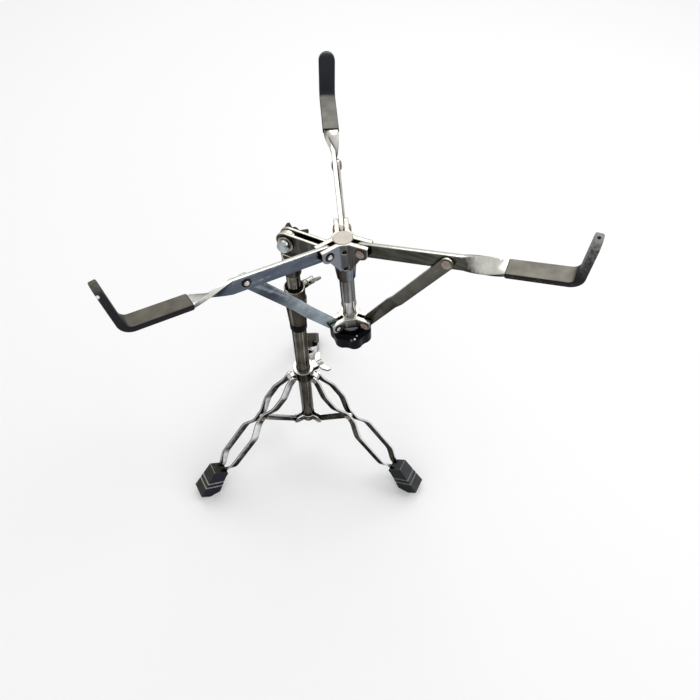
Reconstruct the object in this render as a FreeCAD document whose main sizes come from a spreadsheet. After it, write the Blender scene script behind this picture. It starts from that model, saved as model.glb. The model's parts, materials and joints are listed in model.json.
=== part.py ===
import FreeCAD, Part
import math
import os
import re
import Sketcher
from FreeCAD import Placement, Rotation, Vector
from types import SimpleNamespace

# A folding snare drum stand, standing on the floor at z = 0 with its base tube on the z axis.
# Lengths are millimetres and angles are degrees.

SIZES = {
    # Fits
    "fit_clearance": 0.05,
    "side_clearance": 0.3,
    "cut_overrun": 6,
    # Base tube
    "base_tube_diameter": 19.05,
    "base_tube_wall": 1.0,
    "base_tube_length": 310,
    "base_tube_tail": 12,
    # Tripod: legs and spreaders hang on two rings of pivots and meet at the legs' waists
    "leg_azimuth": 212.3,
    "pivot_radius": 20.5,
    "pivot_spread": 130,
    "waist_reach": 85.4,
    "leg_length": 211,
    "strip_width": 12.5,
    "strip_thickness": 3,
    "strip_bend_radius": 22,
    "upper_bulge": 12,
    "lower_bulge": 15,
    "foot_grip": 5.2,
    "spreader_width": 10,
    "spreader_thickness": 4,
    # Rivets
    "rivet_diameter": 5,
    "rivet_head_diameter": 10,
    "rivet_head_height": 2.2,
    "rivet_roll_diameter": 7.6,
    "rivet_roll_height": 0.8,
    "rivet_hollow_diameter": 3.4,
    "rivet_hollow_depth": 2.2,
    # Lower collar, three pressed plates round the tube
    "plate_thickness": 2.2,
    "plate_height": 14,
    "ear_reach": 6,
    "collar_pin_diameter": 4,
    # Upper collar, a casting that runs on the base tube
    "runner_wall": 3.6,
    "runner_height": 25,
    "runner_rise": 14,
    "runner_rim_width": 1.8,
    "runner_rim_height": 4,
    "lug_width": 7,
    "lug_height": 15,
    "lug_reach": 5.5,
    "boss_diameter": 13,
    "boss_reach": 21.5,
    "boss_rise": 0.5,
    # Wing screws and wing nut
    "wing_screw_diameter": 6,
    "wing_hub_diameter": 9,
    "wing_hub_length": 9,
    "wing_span": 26,
    "collar_wing_span": 36,
    "wing_height": 15,
    "wing_thickness": 3,
    # Rubber feet
    "foot_height": 51.5,
    "foot_back": 7,
    "foot_front": 21,
    "mouth_skew": 5,
    "toe_reach": 52,
    "toe_height": 14,
    "sole_setback": 22,
    "sole_length": 18,
    "heel_reach": 4,
    "heel_height": 35,
    "foot_top_width": 19,
    "foot_sole_width": 28,
    "foot_socket_depth": 24,
    "foot_groove_width": 2.2,
    "foot_groove_depth": 1.4,
    # Height clamp on the top of the base tube
    "clamp_azimuth": 39,
    "clamp_wing_angle": 50,
    "clamp_height": 64,
    "clamp_overlap": 46,
    "clamp_foot_wall": 1.5,
    "clamp_shoulder_wall": 3.8,
    "clamp_shoulder_height": 44,
    "clamp_neck_wall": 2.6,
    "clamp_boss_diameter": 10,
    "clamp_boss_reach": 16.5,
    "clamp_boss_drop": 5.8,
    "trim_ring_height": 13,
    "trim_ring_wall": 1.3,
    # Upper tube with its guide bush
    "upper_tube_diameter": 15.9,
    "upper_tube_wall": 1.2,
    "upper_tube_length": 300,
    "tube_showing": 24,
    "bush_head_height": 10,
    "bush_spigot_length": 16,
    "bush_flange_height": 1.6,
    "bush_slit": 3,
    # Tilter
    "block_diameter": 20,
    "block_height": 26,
    "block_socket_depth": 22,
    "tilter_rise": 48.8,
    "tongue_radius": 11,
    "tilter_bolt_diameter": 8,
    "bolt_head_diameter": 14.5,
    "bolt_head_height": 7,
    "bolt_washer_diameter": 17.5,
    "bolt_washer_thickness": 2,
    # Hub of the basket with its fork
    "basket_azimuth": -24.3,
    "basket_tilt": 4.7,
    "fork_length": 63,
    "fork_gap": 5.5,
    "cheek_thickness": 3.2,
    "cheek_end_radius": 12,
    "hub_rise": 15.2,
    "fork_drop": 8.5,
    "fork_depth": 17.5,
    "hub_depth": 16,
    "hub_core_diameter": 22.5,
    "hub_pivot_radius": 20.5,
    "hub_lug_wall": 5,
    "gusset_drop": 18,
    "neck_length": 37,
    "neck_end_wall": 1.6,
    "cap_diameter": 19,
    "cap_thickness": 1.8,
    "cap_sink": 1.3,
    "set_screw_diameter": 5,
    "set_screw_length": 1.4,
    "set_screw_drop": 1.3,
    "set_screw_pitch": 21.7,
    # Stem and adjuster screw
    "stem_diameter": 15.9,
    "stem_rise": 4.4,
    "stem_drop": 78,
    "adjuster_diameter": 14.3,
    "adjuster_grip": 30,
    "adjuster_drop": 147,
    # Spider that the braces push
    "spider_drop": 109.4,
    "spider_depth": 14,
    "spider_core_diameter": 23,
    "spider_pivot_radius": 20.3,
    "spider_lug_wall": 5.2,
    # Knob
    "knob_washer_diameter": 24,
    "knob_washer_thickness": 5,
    "knob_core_diameter": 45,
    "knob_lobe_diameter": 20,
    "knob_lobe_circle": 29.6,
    "knob_height": 23,
    "insert_diameter": 19,
    # Basket arms with their sleeves
    "arm_rise": 10.4,
    "arm_width": 15.8,
    "arm_thickness": 4.2,
    "arm_pivot_reach": 84.65,
    "arm_twist": 85,
    "twist_setback": 13,
    "sleeve_reach": 135.8,
    "sleeve_wall": 1.0,
    "bend_reach": 193,
    "bend_radius": 10,
    "tip_length": 46,
    "tip_angle": 79,
    # Braces
    "brace_width": 13,
    "brace_thickness": 3,
    "joggle_length": 14,
}

# Places along a leg strip, as shares of the stretch from pivot to waist and from waist to foot
UPPER_LOOP_SHARES = (0.10, 0.36, 0.66, 0.90)
LOWER_LOOP_SHARES = (0.10, 0.28, 0.83, 0.98)
# Places of the grooves down a foot's outer face, as shares of its length
FOOT_GROOVE_SHARES = (0.46, 0.63)
# Where a brace steps sideways, as a share of its length
JOGGLE_SHARE = 0.36
# Where a lug's slot starts, as a share of the core's half width
SLOT_START_SHARE = 0.82
# How far in along a lug its gusset ends below, as a share of the core's half width
GUSSET_FOOT_SHARE = 0.9
# How deep a collar pin goes into the tube's wall, as a share of the wall
PIN_DEPTH_SHARE = 0.6
# Crown of the tilter bolt's head: its radius as a share of the head's diameter, its start of the height
CROWN_RADIUS_SHARE = 0.4
CROWN_START_SHARE = 0.6
# The tilter nut's flange: its radius as a share of the washer's diameter, its height of the nut's
FLANGE_RADIUS_SHARE = 0.4
FLANGE_HEIGHT_SHARE = 0.35
# Outline of a wing blade: shares of the half span and of the wing's height
WING_SHARES = ((0.20, 0.0), (0.62, 0.16), (0.97, 0.52), (1.0, 0.86), (0.84, 1.0), (0.20, 0.55))
# Crown of a rivet head: shares of the head's radius and height
RIVET_CROWN_SHARES = ((1.0, 0.30), (0.85, 0.70), (0.50, 1.0))
# Chamfers of the knob and the cap, as shares of their heights
KNOB_CHAMFER_SHARE = 0.18
CAP_CHAMFER_SHARE = 0.25

SIDES = ("left", "right", "rear")
SIDE_TURNS = {"left": 0, "right": 120, "rear": 240}
# Arms turn round the hub from the line of the fork
ARM_TURNS = {"right": 0, "rear": 120, "left": 240}
FRONT_TURN = 300
HALF_STEP = 60
QUARTER = 90
KNOB_LOBES = 7
TWIST_STEPS = 6
REL_TOL = 1e-6

doc = FreeCAD.newDocument("SnareDrumStand")
sheet = doc.addObject("Spreadsheet::Sheet", "Sizes")
for row, (alias, number) in enumerate(SIZES.items(), start=1):
    sheet.set(f"A{row}", alias)
    sheet.set(f"B{row}", str(number))
    sheet.setAlias(f"B{row}", alias)
doc.recompute()
size = SimpleNamespace(**{alias: float(sheet.get(alias)) for alias in SIZES})

HERE = Vector()
ALONG = Vector(1, 0, 0)
ACROSS = Vector(0, 1, 0)
UP = Vector(0, 0, 1)
TO_ACROSS = Rotation(UP, ACROSS)
TO_ALONG = Rotation(UP, ALONG)
# A section drawn flat turns to face along the x axis
FACING = Rotation(ACROSS, UP, ALONG, "XYZ")
nodes = []


# Frames

def shift(x=0.0, y=0.0, z=0.0):
    return Placement(Vector(x, y, z), Rotation())


def turn(axis, angle):
    return Placement(HERE, Rotation(axis, angle))


# Sheet-bound solids

def bound(text):
    """Point the size names in a sum at the sheet's cells."""
    return re.sub(r"[a-z_]+", lambda word: "Sizes." * (word.group() in SIZES) + word.group(), text)


def bind(piece, **sums):
    for field, text in sums.items():
        piece.setExpression(field, bound(text))
    piece.recompute()
    return piece


def cylinder(radius, height, at=HERE, facing=Rotation(), centred=True):
    piece = bind(doc.addObject("Part::Cylinder", "Cylinder"), Radius=radius, Height=height)
    drop = piece.Height.Value / 2 if centred else 0.0
    piece.Placement = Placement(at, facing) * shift(z=-drop)
    return piece


def block(length, width, height, at=HERE, facing=Rotation()):
    """A box centred on a point."""
    piece = bind(doc.addObject("Part::Box", "Block"), Length=length, Width=width, Height=height)
    corner = Vector(piece.Length.Value, piece.Width.Value, piece.Height.Value) / -2
    piece.Placement = Placement(at, facing) * Placement(corner, Rotation())
    return piece


def hexagon(width, height):
    """A six-sided bar with flats to the x axis, centred on a point."""
    piece = bind(doc.addObject("Part::Prism", "Hexagon"), Height=height,
                 Circumradius=f"{width} / 2 / cos(30deg)")
    piece.Placement = Placement(HERE, Rotation(UP, 30)) * shift(z=-piece.Height.Value / 2)
    return piece


def polygon(points, body=None, role=None, closed=True):
    """A sketch of straight lines whose corners are bound to the sheet."""
    if body:
        sketch = body.newObject("Sketcher::SketchObject", "Outline")
        sketch.AttachmentSupport = [(origin_plane(body, role), "")]
        sketch.MapMode = "FlatFace"
    else:
        sketch = doc.addObject("Sketcher::SketchObject", "Outline")
    count = len(points)
    lines = count if closed else count - 1
    start = [Rotation(UP, 360 * step / count).multVec(ALONG) for step in range(count)]
    for line in range(lines):
        sketch.addGeometry(Part.LineSegment(start[line], start[(line + 1) % count]))
    for line in range(lines if closed else lines - 1):
        sketch.addConstraint(Sketcher.Constraint("Coincident", line, 2, (line + 1) % lines, 1))
    for corner, place in enumerate(points):
        line, end = (corner, 1) if corner < lines else (lines - 1, 2)
        for kind, text in zip(("DistanceX", "DistanceY"), place):
            which = sketch.addConstraint(Sketcher.Constraint(kind, -1, 1, line, end, 1))
            sketch.setExpression(f"Constraints[{which}]", bound(text))
    sketch.recompute()
    return sketch


def origin_plane(body, role):
    return next(plane for plane in body.Origin.OriginFeatures if plane.Role == role)


def padded(points, thickness, role="XZ_Plane"):
    """A body padded both ways from one of its origin planes."""
    body = doc.addObject("PartDesign::Body", "Padded")
    pad = body.newObject("PartDesign::Pad", "Pad")
    pad.Profile = polygon(points, body, role)
    pad.SideType = "Symmetric"
    pad.setExpression("Length", bound(thickness))
    return body


def revolved(points):
    """A body turned about the z axis from radii and heights."""
    body = doc.addObject("PartDesign::Body", "Turned")
    sketch = polygon(points, body, "XZ_Plane")
    turning = body.newObject("PartDesign::Revolution", "Revolution")
    turning.Profile = sketch
    turning.ReferenceAxis = (sketch, ["V_Axis"])
    turning.Angle = 360
    return body


def fused(*pieces):
    union = doc.addObject("Part::MultiFuse", "Fuse")
    union.Shapes = list(pieces)
    union.Refine = True
    return union


def cut(base, *tools):
    result = doc.addObject("Part::Cut", "Cut")
    result.Base = base
    result.Tool = tools[0] if len(tools) == 1 else grouped(*tools)
    result.Refine = True
    return result


def common(first, second):
    result = doc.addObject("Part::Common", "Common")
    result.Base = first
    result.Tool = second
    return result


def grouped(*pieces):
    group = doc.addObject("Part::Compound", "Group")
    group.Links = list(pieces)
    return group


def put(piece, where):
    piece.Placement = where * piece.Placement
    return piece


def node(label, piece, where=Placement()):
    piece.Label = label
    nodes.append(put(piece, where))


# Fasteners

def domed_end(grip):
    """A rivet's factory head, from the shank's surface to its middle."""
    crown = [(f"rivet_head_diameter / 2 * {wide}", f"{grip} + rivet_head_height * {high}")
             for wide, high in RIVET_CROWN_SHARES]
    return [("rivet_diameter / 2", grip), ("rivet_head_diameter / 2", grip), *crown,
            ("0", f"{grip} + rivet_head_height")]


def rolled_end(grip):
    """A rivet's hollow end, rolled over on what it grips."""
    return [("rivet_diameter / 2", grip), ("rivet_roll_diameter / 2", grip),
            ("rivet_roll_diameter / 2", f"{grip} + rivet_roll_height"),
            ("rivet_hollow_diameter / 2", f"{grip} + rivet_roll_height"),
            ("rivet_hollow_diameter / 2", f"{grip} - rivet_hollow_depth"),
            ("0", f"{grip} - rivet_hollow_depth")]


def rivet(grip, at=HERE):
    """A rivet across what it grips, with its rolled end on the y side."""
    head = [(wide, f"-({high})") for wide, high in reversed(domed_end(f"{grip} / 2"))]
    return put(revolved(head + rolled_end(f"{grip} / 2")), Placement(at, TO_ACROSS))


def half_rivet(end, grip, facing):
    """One end of a rivet, from the lap face outwards."""
    profile = [("0", "0"), ("rivet_diameter / 2", "0"), *end(grip)]
    return put(revolved(profile), Placement(HERE, facing))


def rivet_hole(at=HERE, loose=True):
    play = "fit_clearance" if loose else "0"
    return cylinder(f"rivet_diameter / 2 + {play}", "lug_width * 6 + cut_overrun", at, TO_ACROSS)


def wing(span):
    """A wing head with its turning axis on z and its foot at z = 0."""
    blade = [(f"{span} / 2 * {out}", f"wing_height * {high}") for out, high in WING_SHARES]
    mirrored = [(f"-({out})", high) for out, high in blade]
    barrel = cylinder("wing_hub_diameter / 2", "wing_hub_length", centred=False)
    return fused(barrel, padded(blade, "wing_thickness"), padded(mirrored, "wing_thickness"))


def wing_screw(label, reach, span, angle, frame):
    """A screw along a frame's x axis that ends clear of the tube, with its wing clear of a boss."""
    start = size.base_tube_diameter / 2 + size.side_clearance
    shank = cylinder("wing_screw_diameter / 2", f"{reach} - base_tube_diameter / 2", HERE, centred=False)
    head = put(wing(span), shift(z=size_of(reach) + size.side_clearance - start) * turn(UP, angle))
    node(label, fused(shank, head), frame * Placement(Vector(start, 0, 0), TO_ALONG))


# Heights and angles that follow from the sizes
leg_angle = math.degrees(math.asin(size.pivot_spread / 2 / size.waist_reach))
upper_pivot_height = size.foot_height + size.leg_length * math.sin(math.radians(leg_angle))
lower_pivot_height = upper_pivot_height - size.pivot_spread
tube_bottom = lower_pivot_height - size.base_tube_tail
tube_top = tube_bottom + size.base_tube_length
clamp_bottom = tube_top - size.clamp_overlap
clamp_top = clamp_bottom + size.clamp_height
block_bottom = clamp_top + size.tube_showing
tilter_height = block_bottom + size.tilter_rise
upper_tube_bottom = block_bottom + size.block_socket_depth - size.upper_tube_length

arm_angle = math.radians(size.arm_rise)
brace_out = (size.hub_pivot_radius + size.arm_pivot_reach * math.cos(arm_angle)
             - size.spider_pivot_radius)
brace_up = size.arm_pivot_reach * math.sin(arm_angle) + size.spider_drop
brace_length = math.hypot(brace_out, brace_up)
brace_angle = math.degrees(math.atan2(brace_up, brace_out))

mast_frame = shift(z=tilter_height) * turn(UP, size.basket_azimuth)
basket_frame = mast_frame * turn(ACROSS, -size.basket_tilt)
hub_frame = basket_frame * shift(x=size.fork_length, z=size.hub_rise)
spider_frame = hub_frame * shift(z=-size.spider_drop)


def tripod_frame(side, height):
    return shift(z=height) * turn(UP, size.leg_azimuth + SIDE_TURNS[side])


def leg_frame(side):
    """The pivot at a leg's top, with x down the leg."""
    return tripod_frame(side, upper_pivot_height) * shift(x=size.pivot_radius) * turn(ACROSS, leg_angle)


def spreader_frame(side):
    """The pivot at a spreader's inner end, with x up the spreader."""
    return tripod_frame(side, lower_pivot_height) * shift(x=size.pivot_radius) * turn(ACROSS, -leg_angle)


def foot_frame(side):
    """The middle of a foot's mouth, with z upright."""
    return leg_frame(side) * shift(x=size.leg_length) * turn(ACROSS, -leg_angle)


def arm_frame(side):
    """The pivot at an arm's hub end, with x along the arm."""
    return (hub_frame * turn(UP, ARM_TURNS[side]) * shift(x=size.hub_pivot_radius)
            * turn(ACROSS, -size.arm_rise))


def brace_frame(side):
    """The pivot at a brace's spider end, with x up the brace."""
    return (spider_frame * turn(UP, ARM_TURNS[side]) * shift(x=size.spider_pivot_radius)
            * turn(ACROSS, -brace_angle))


# Column

def collar_pins(reach):
    """Pins from inside the tube's wall out to a reach, each between two ears."""
    start = size.base_tube_diameter / 2 - size.base_tube_wall * PIN_DEPTH_SHARE
    length = f"{reach} - (base_tube_diameter / 2 - base_tube_wall * {PIN_DEPTH_SHARE})"
    return [put(cylinder("collar_pin_diameter / 2", length, Vector(start, 0, 0), TO_ALONG, centred=False),
                turn(UP, SIDE_TURNS[side] + HALF_STEP)) for side in SIDES]


def base_tube():
    tube = cylinder("base_tube_diameter / 2", "base_tube_length", Vector(0, 0, -size.base_tube_tail),
                    centred=False)
    bore = cylinder("base_tube_diameter / 2 - base_tube_wall", "base_tube_length * 3")
    node("base_tube", cut(tube, bore, *collar_pins("base_tube_diameter")),
         tripod_frame("left", lower_pivot_height))


def lower_collar():
    """Three pressed plates whose ears hold the spreaders between them."""
    ear_wide = "(spreader_thickness + side_clearance * 2 + plate_thickness * 2)"
    ears, slots, rivets = [], [], []
    for side in SIDES:
        frame = turn(UP, SIDE_TURNS[side])
        end = size.pivot_radius + size.ear_reach - size.plate_height / 2
        ears.append(put(block("pivot_radius + ear_reach - plate_height / 2", ear_wide, "plate_height",
                              Vector(end / 2, 0, 0)), frame))
        ears.append(put(cylinder("plate_height / 2", ear_wide, Vector(end, 0, 0), TO_ACROSS), frame))
        slots.append(put(block("pivot_radius * 3", "spreader_thickness + side_clearance * 2",
                               "plate_height + cut_overrun",
                               Vector(size.pivot_radius * 3 / 2, 0, 0)), frame))
        slots.append(put(rivet_hole(Vector(size.pivot_radius, 0, 0), loose=False), frame))
        rivets.append(put(rivet(ear_wide, Vector(size.pivot_radius, 0, 0)), frame))
    ring = cylinder("base_tube_diameter / 2 + plate_thickness", "plate_height")
    bore = cylinder("base_tube_diameter / 2", "plate_height + cut_overrun")
    frame = tripod_frame("left", lower_pivot_height)
    pin_holes = collar_pins("base_tube_diameter")
    node("lower_collar_plates", cut(fused(ring, *ears), bore, *pin_holes, *slots), frame)
    pins = common(grouped(*collar_pins("base_tube_diameter")),
                  cylinder("base_tube_diameter / 2 + plate_thickness", "plate_height"))
    node("lower_collar_pins", pins, frame)
    node("spreader_rivets", grouped(*rivets), frame)


def height_clamp():
    """The clamp with its wing screw, its black ring and its slit bush, on the base tube's top."""
    tube_r = "base_tube_diameter / 2"
    body = revolved([
        ("base_tube_diameter / 4", "0"),
        (f"{tube_r} + clamp_foot_wall", "0"),
        (f"{tube_r} + clamp_shoulder_wall", "clamp_shoulder_height"),
        (f"{tube_r} + clamp_neck_wall", "clamp_shoulder_height + clamp_shoulder_wall - clamp_neck_wall"),
        (f"{tube_r} + clamp_neck_wall", "clamp_height"),
        ("base_tube_diameter / 4", "clamp_height"),
    ])
    screw_height = size.clamp_height - size.clamp_boss_drop
    at = Vector(0, 0, screw_height)
    boss = cylinder("clamp_boss_diameter / 2", "clamp_boss_reach", at, TO_ALONG, centred=False)
    screw_hole = cylinder("wing_screw_diameter / 2 + fit_clearance", "clamp_boss_reach * 2", at, TO_ALONG,
                          centred=False)
    bore = cylinder(tube_r, "clamp_height * 3")
    frame = shift(z=clamp_bottom) * turn(UP, size.clamp_azimuth)
    node("clamp_body", cut(fused(body, boss), bore, screw_hole), frame)
    ring = revolved([(tube_r, "0"), (f"{tube_r} + trim_ring_wall", "0"),
                     (f"{tube_r} + trim_ring_wall", "trim_ring_height"), (tube_r, "trim_ring_height")])
    node("trim_ring", ring, frame * shift(z=-size.trim_ring_height))
    bush_in = "upper_tube_diameter / 2 + fit_clearance"
    seat = "clamp_height - clamp_overlap"
    bush = revolved([(bush_in, "0"), (tube_r, "0"), (tube_r, seat),
                     (f"{tube_r} + clamp_neck_wall / 2", seat),
                     (f"{tube_r} + clamp_neck_wall / 2", f"{seat} + bush_flange_height"),
                     (bush_in, f"{seat} + bush_flange_height")])
    slit = block("base_tube_diameter * 3", "bush_slit", "clamp_height * 2",
                 Vector(-size.base_tube_diameter * 3 / 2, 0, 0))
    node("clamp_bush", cut(bush, slit), frame * shift(z=size.clamp_overlap))
    wing_screw("clamp_wing", "clamp_boss_reach", "wing_span", size.clamp_wing_angle,
               frame * shift(z=screw_height))


# Tripod

def spreader(side):
    far = Vector(size.waist_reach, 0, 0)
    bar = fused(block("waist_reach", "spreader_thickness", "spreader_width", far / 2),
                cylinder("spreader_width / 2", "spreader_thickness", HERE, TO_ACROSS),
                cylinder("spreader_width / 2", "spreader_thickness", far, TO_ACROSS))
    holes = (rivet_hole(), rivet_hole(far))
    node(f"{side}_spreader", cut(bar, *holes), spreader_frame(side))


def bend_edges(shape):
    """Numbers of the edges that cross a strip at its bends."""
    box = shape.BoundBox
    found = []
    for place, edge in enumerate(shape.Edges, start=1):
        middle = edge.CenterOfMass
        crossing = math.isclose(edge.BoundBox.ZLength, box.ZLength, rel_tol=REL_TOL)
        if crossing and box.XMin + size.strip_thickness < middle.x < box.XMax - size.strip_thickness:
            found.append(place)
    return found


def leg_strip(side, sign, label):
    """One bent strip of a leg, its centre line offset to one side of the leg."""
    top = "lug_width / 2 + side_clearance + strip_thickness / 2"
    waist = "spreader_thickness / 2 + side_clearance + strip_thickness / 2"
    lower = "leg_length - waist_reach"
    first, second, third, fourth = (f"waist_reach * {share}" for share in UPPER_LOOP_SHARES)
    fifth, sixth, seventh, eighth = (f"waist_reach + ({lower}) * {share}" for share in LOWER_LOOP_SHARES)
    route = [("-strip_width / 2", top), (first, top), (second, "upper_bulge"), (third, "upper_bulge"),
             (fourth, waist), (fifth, waist), (sixth, "lower_bulge"), (seventh, "lower_bulge"),
             (eighth, "foot_grip"), ("leg_length + foot_socket_depth", "foot_grip")]
    path = polygon([(along, f"{sign} * ({aside})") for along, aside in route], closed=False)
    half_wide, half_thick = "strip_width / 2", "strip_thickness / 2"
    section = polygon([(f"-{half_thick}", f"-{half_wide}"), (half_thick, f"-{half_wide}"),
                       (half_thick, half_wide), (f"-{half_thick}", half_wide)])
    section.Placement = Placement(Vector(-size.strip_width / 2, path.Shape.Vertexes[0].Y, 0), FACING)
    strip = doc.addObject("Part::Sweep", "Strip")
    strip.Sections = [section]
    strip.Spine = (path, [f"Edge{step}" for step in range(1, len(route))])
    strip.Solid = True
    strip.Transition = "Right corner"
    plain = doc.addObject("Part::Refine", "PlainStrip")
    plain.Source = strip
    plain.recompute(True)
    bent = doc.addObject("Part::Fillet", "Bends")
    bent.Base = plain
    bend = size.strip_bend_radius
    bent.Edges = [(place, bend, bend) for place in bend_edges(plain.Shape)]
    reach = size.leg_length + size.foot_socket_depth
    rounded = fused(block("leg_length + foot_socket_depth", "upper_bulge * 4", "strip_width",
                          Vector(reach / 2, 0, 0)),
                    cylinder("strip_width / 2", "upper_bulge * 4", HERE, TO_ACROSS))
    holes = (rivet_hole(loose=False), rivet_hole(Vector(size.waist_reach, 0, 0), loose=False))
    node(f"{side}_leg_strip_{label}", cut(common(bent, rounded), *holes), leg_frame(side))


def leg_rivets(side):
    top = rivet("(lug_width + side_clearance * 2 + strip_thickness * 2)")
    waist = rivet("(spreader_thickness + side_clearance * 2 + strip_thickness * 2)",
                  Vector(size.waist_reach, 0, 0))
    node(f"{side}_leg_rivets", grouped(top, waist), leg_frame(side))


def foot(side):
    """A rubber boot, deeper towards its toe, with grooves round its outer face."""
    slope = math.radians(leg_angle)
    rise, run = math.cos(slope), math.sin(slope)
    mouth_front = (f"foot_front * {run}", f"foot_front * {rise}")
    mouth_back = (f"mouth_skew * {rise} - foot_back * {run}", f"-mouth_skew * {run} - foot_back * {rise}")
    profile = [mouth_back, mouth_front,
               ("toe_reach", "toe_height - foot_height"),
               ("sole_setback + sole_length", "-foot_height"), ("sole_setback", "-foot_height"),
               ("heel_reach", "heel_height - foot_height")]
    flare = [("-foot_sole_width / 2", "-foot_height"), ("foot_sole_width / 2", "-foot_height"),
             ("foot_top_width / 2", "foot_front"), ("-foot_top_width / 2", "foot_front")]
    boot = common(padded(profile, "foot_sole_width"), padded(flare, "toe_reach * 3", "YZ_Plane"))
    front = Vector(size.foot_front * run, 0, size.foot_front * rise)
    toe = Vector(size.toe_reach, 0, size.toe_height - size.foot_height)
    facing = Rotation(ALONG, toe - front)
    cuts = []
    for share in FOOT_GROOVE_SHARES:
        middle = front + (toe - front) * share
        frame = Placement(middle, facing)
        cuts.append(put(block("foot_groove_width", "foot_sole_width * 2", "foot_groove_depth * 2"), frame))
        for sign in (1, -1):
            wall = sign * (size.foot_top_width + size.foot_sole_width) / 4
            cuts.append(put(block("foot_groove_width", "foot_groove_depth * 2", "foot_front * 4",
                                  Vector(0, wall, 0)), frame))
    sockets = [block("foot_socket_depth * 2", "strip_thickness", "strip_width",
                     Vector(0, sign * size.foot_grip, 0), Rotation(ACROSS, leg_angle)) for sign in (1, -1)]
    node(f"{side}_foot", cut(boot, *sockets, *cuts), foot_frame(side))


def upper_collar():
    """The casting that carries the legs' tops, with its screw boss."""
    inner = "base_tube_diameter / 2 + fit_clearance"
    outer = "base_tube_diameter / 2 + runner_wall"
    sleeve = revolved([
        (inner, "runner_rise - runner_height"), (outer, "runner_rise - runner_height"),
        (outer, "runner_rise - runner_rim_height"),
        (f"{outer} + runner_rim_width", "runner_rise - runner_rim_height"),
        (f"{outer} + runner_rim_width", "runner_rise"), (inner, "runner_rise"),
    ])
    lugs, holes = [], []
    for side in SIDES:
        frame = turn(UP, SIDE_TURNS[side])
        lugs.append(put(block("pivot_radius", "lug_width", "lug_height",
                              Vector(size.pivot_radius / 2, 0, 0)), frame))
        lugs.append(put(cylinder("lug_height / 2", "lug_width", Vector(size.pivot_radius
                                 - size.lug_height / 2 + size.lug_reach, 0, 0), TO_ACROSS), frame))
        holes.append(put(rivet_hole(Vector(size.pivot_radius, 0, 0)), frame))
    screw = turn(UP, SIDE_TURNS["right"] + HALF_STEP)
    boss = put(cylinder("boss_diameter / 2", "boss_reach", Vector(0, 0, size.boss_rise), TO_ALONG,
                        centred=False), screw)
    saddle = put(block("boss_reach", "boss_diameter", "boss_diameter / 2",
                       Vector(size.boss_reach / 2, 0, size.boss_rise + size.boss_diameter / 4)), screw)
    screw_hole = put(cylinder("wing_screw_diameter / 2 + fit_clearance", "boss_reach * 2",
                              Vector(0, 0, size.boss_rise), TO_ALONG, centred=False), screw)
    bore = cylinder(inner, "runner_height * 4")
    frame = tripod_frame("left", upper_pivot_height)
    node("upper_collar", cut(fused(sleeve, boss, saddle, *lugs), bore, screw_hole, *holes), frame)
    wing_screw("collar_wing_screw", "boss_reach", "collar_wing_span", QUARTER,
               frame * screw * shift(z=size.boss_rise))


# Mast and tilter

def mast():
    tube = cut(cylinder("upper_tube_diameter / 2", "upper_tube_length", centred=False),
               cylinder("upper_tube_diameter / 2 - upper_tube_wall", "upper_tube_length * 3"))
    node("upper_tube", tube, shift(z=upper_tube_bottom))
    bore_r = "upper_tube_diameter / 2 - upper_tube_wall - fit_clearance"
    slide_r = "base_tube_diameter / 2 - base_tube_wall - fit_clearance"
    bush = revolved([("0", "-bush_head_height"), (slide_r, "-bush_head_height"), (slide_r, "0"),
                     (bore_r, "0"), (bore_r, "bush_spigot_length"), ("0", "bush_spigot_length")])
    node("guide_bush", bush, shift(z=upper_tube_bottom - size.fit_clearance))
    barrel = cylinder("block_diameter / 2", "block_height", Vector(0, 0, -size.tilter_rise), centred=False)
    thick = "fork_gap - side_clearance * 2"
    stalk = size.tilter_rise - size.block_socket_depth
    tongue = block("tongue_radius * 2", thick, "tilter_rise - block_socket_depth", Vector(0, 0, -stalk / 2))
    tip = cylinder("tongue_radius", thick, HERE, TO_ACROSS)
    socket = cylinder("upper_tube_diameter / 2", "block_socket_depth * 2", Vector(0, 0, -size.tilter_rise))
    bolt_hole = cylinder("tilter_bolt_diameter / 2", "fork_gap * 3", HERE, TO_ACROSS)
    node("tilter_block", cut(fused(barrel, tongue, tip), socket, bolt_hole), mast_frame)
    # The bolt's head and washer are on the side of the left arm
    half = "(fork_gap / 2 + cheek_thickness + side_clearance)"
    washer_out = f"{half} + bolt_washer_thickness"
    bolt = revolved([
        ("0", f"-({washer_out} + bolt_head_height)"),
        (f"bolt_head_diameter * {CROWN_RADIUS_SHARE}", f"-({washer_out} + bolt_head_height)"),
        ("bolt_head_diameter / 2", f"-({washer_out} + bolt_head_height * {CROWN_START_SHARE})"),
        ("bolt_head_diameter / 2", f"-({washer_out})"),
        ("tilter_bolt_diameter / 2", f"-({washer_out})"),
        ("tilter_bolt_diameter / 2", f"{half} + wing_hub_length + side_clearance"),
        ("0", f"{half} + wing_hub_length + side_clearance"),
    ])
    bolt_frame = mast_frame * Placement(HERE, TO_ACROSS)
    node("tilter_bolt", bolt, bolt_frame)
    washer = revolved([
        ("tilter_bolt_diameter / 2", f"-({washer_out})"), ("bolt_washer_diameter / 2", f"-({washer_out})"),
        ("bolt_washer_diameter / 2", f"-{half}"), ("tilter_bolt_diameter / 2", f"-{half}"),
    ])
    node("tilter_washer", washer, bolt_frame)
    seat = size.fork_gap / 2 + size.cheek_thickness + size.side_clearance
    nut = fused(wing("wing_span"), cylinder(f"bolt_washer_diameter * {FLANGE_RADIUS_SHARE}",
                                            f"wing_hub_length * {FLANGE_HEIGHT_SHARE}", centred=False))
    nut = cut(nut, cylinder("tilter_bolt_diameter / 2 + fit_clearance", "wing_hub_length * 4"))
    node("tilter_wing_nut", nut, bolt_frame * shift(z=seat))


# Basket

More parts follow.
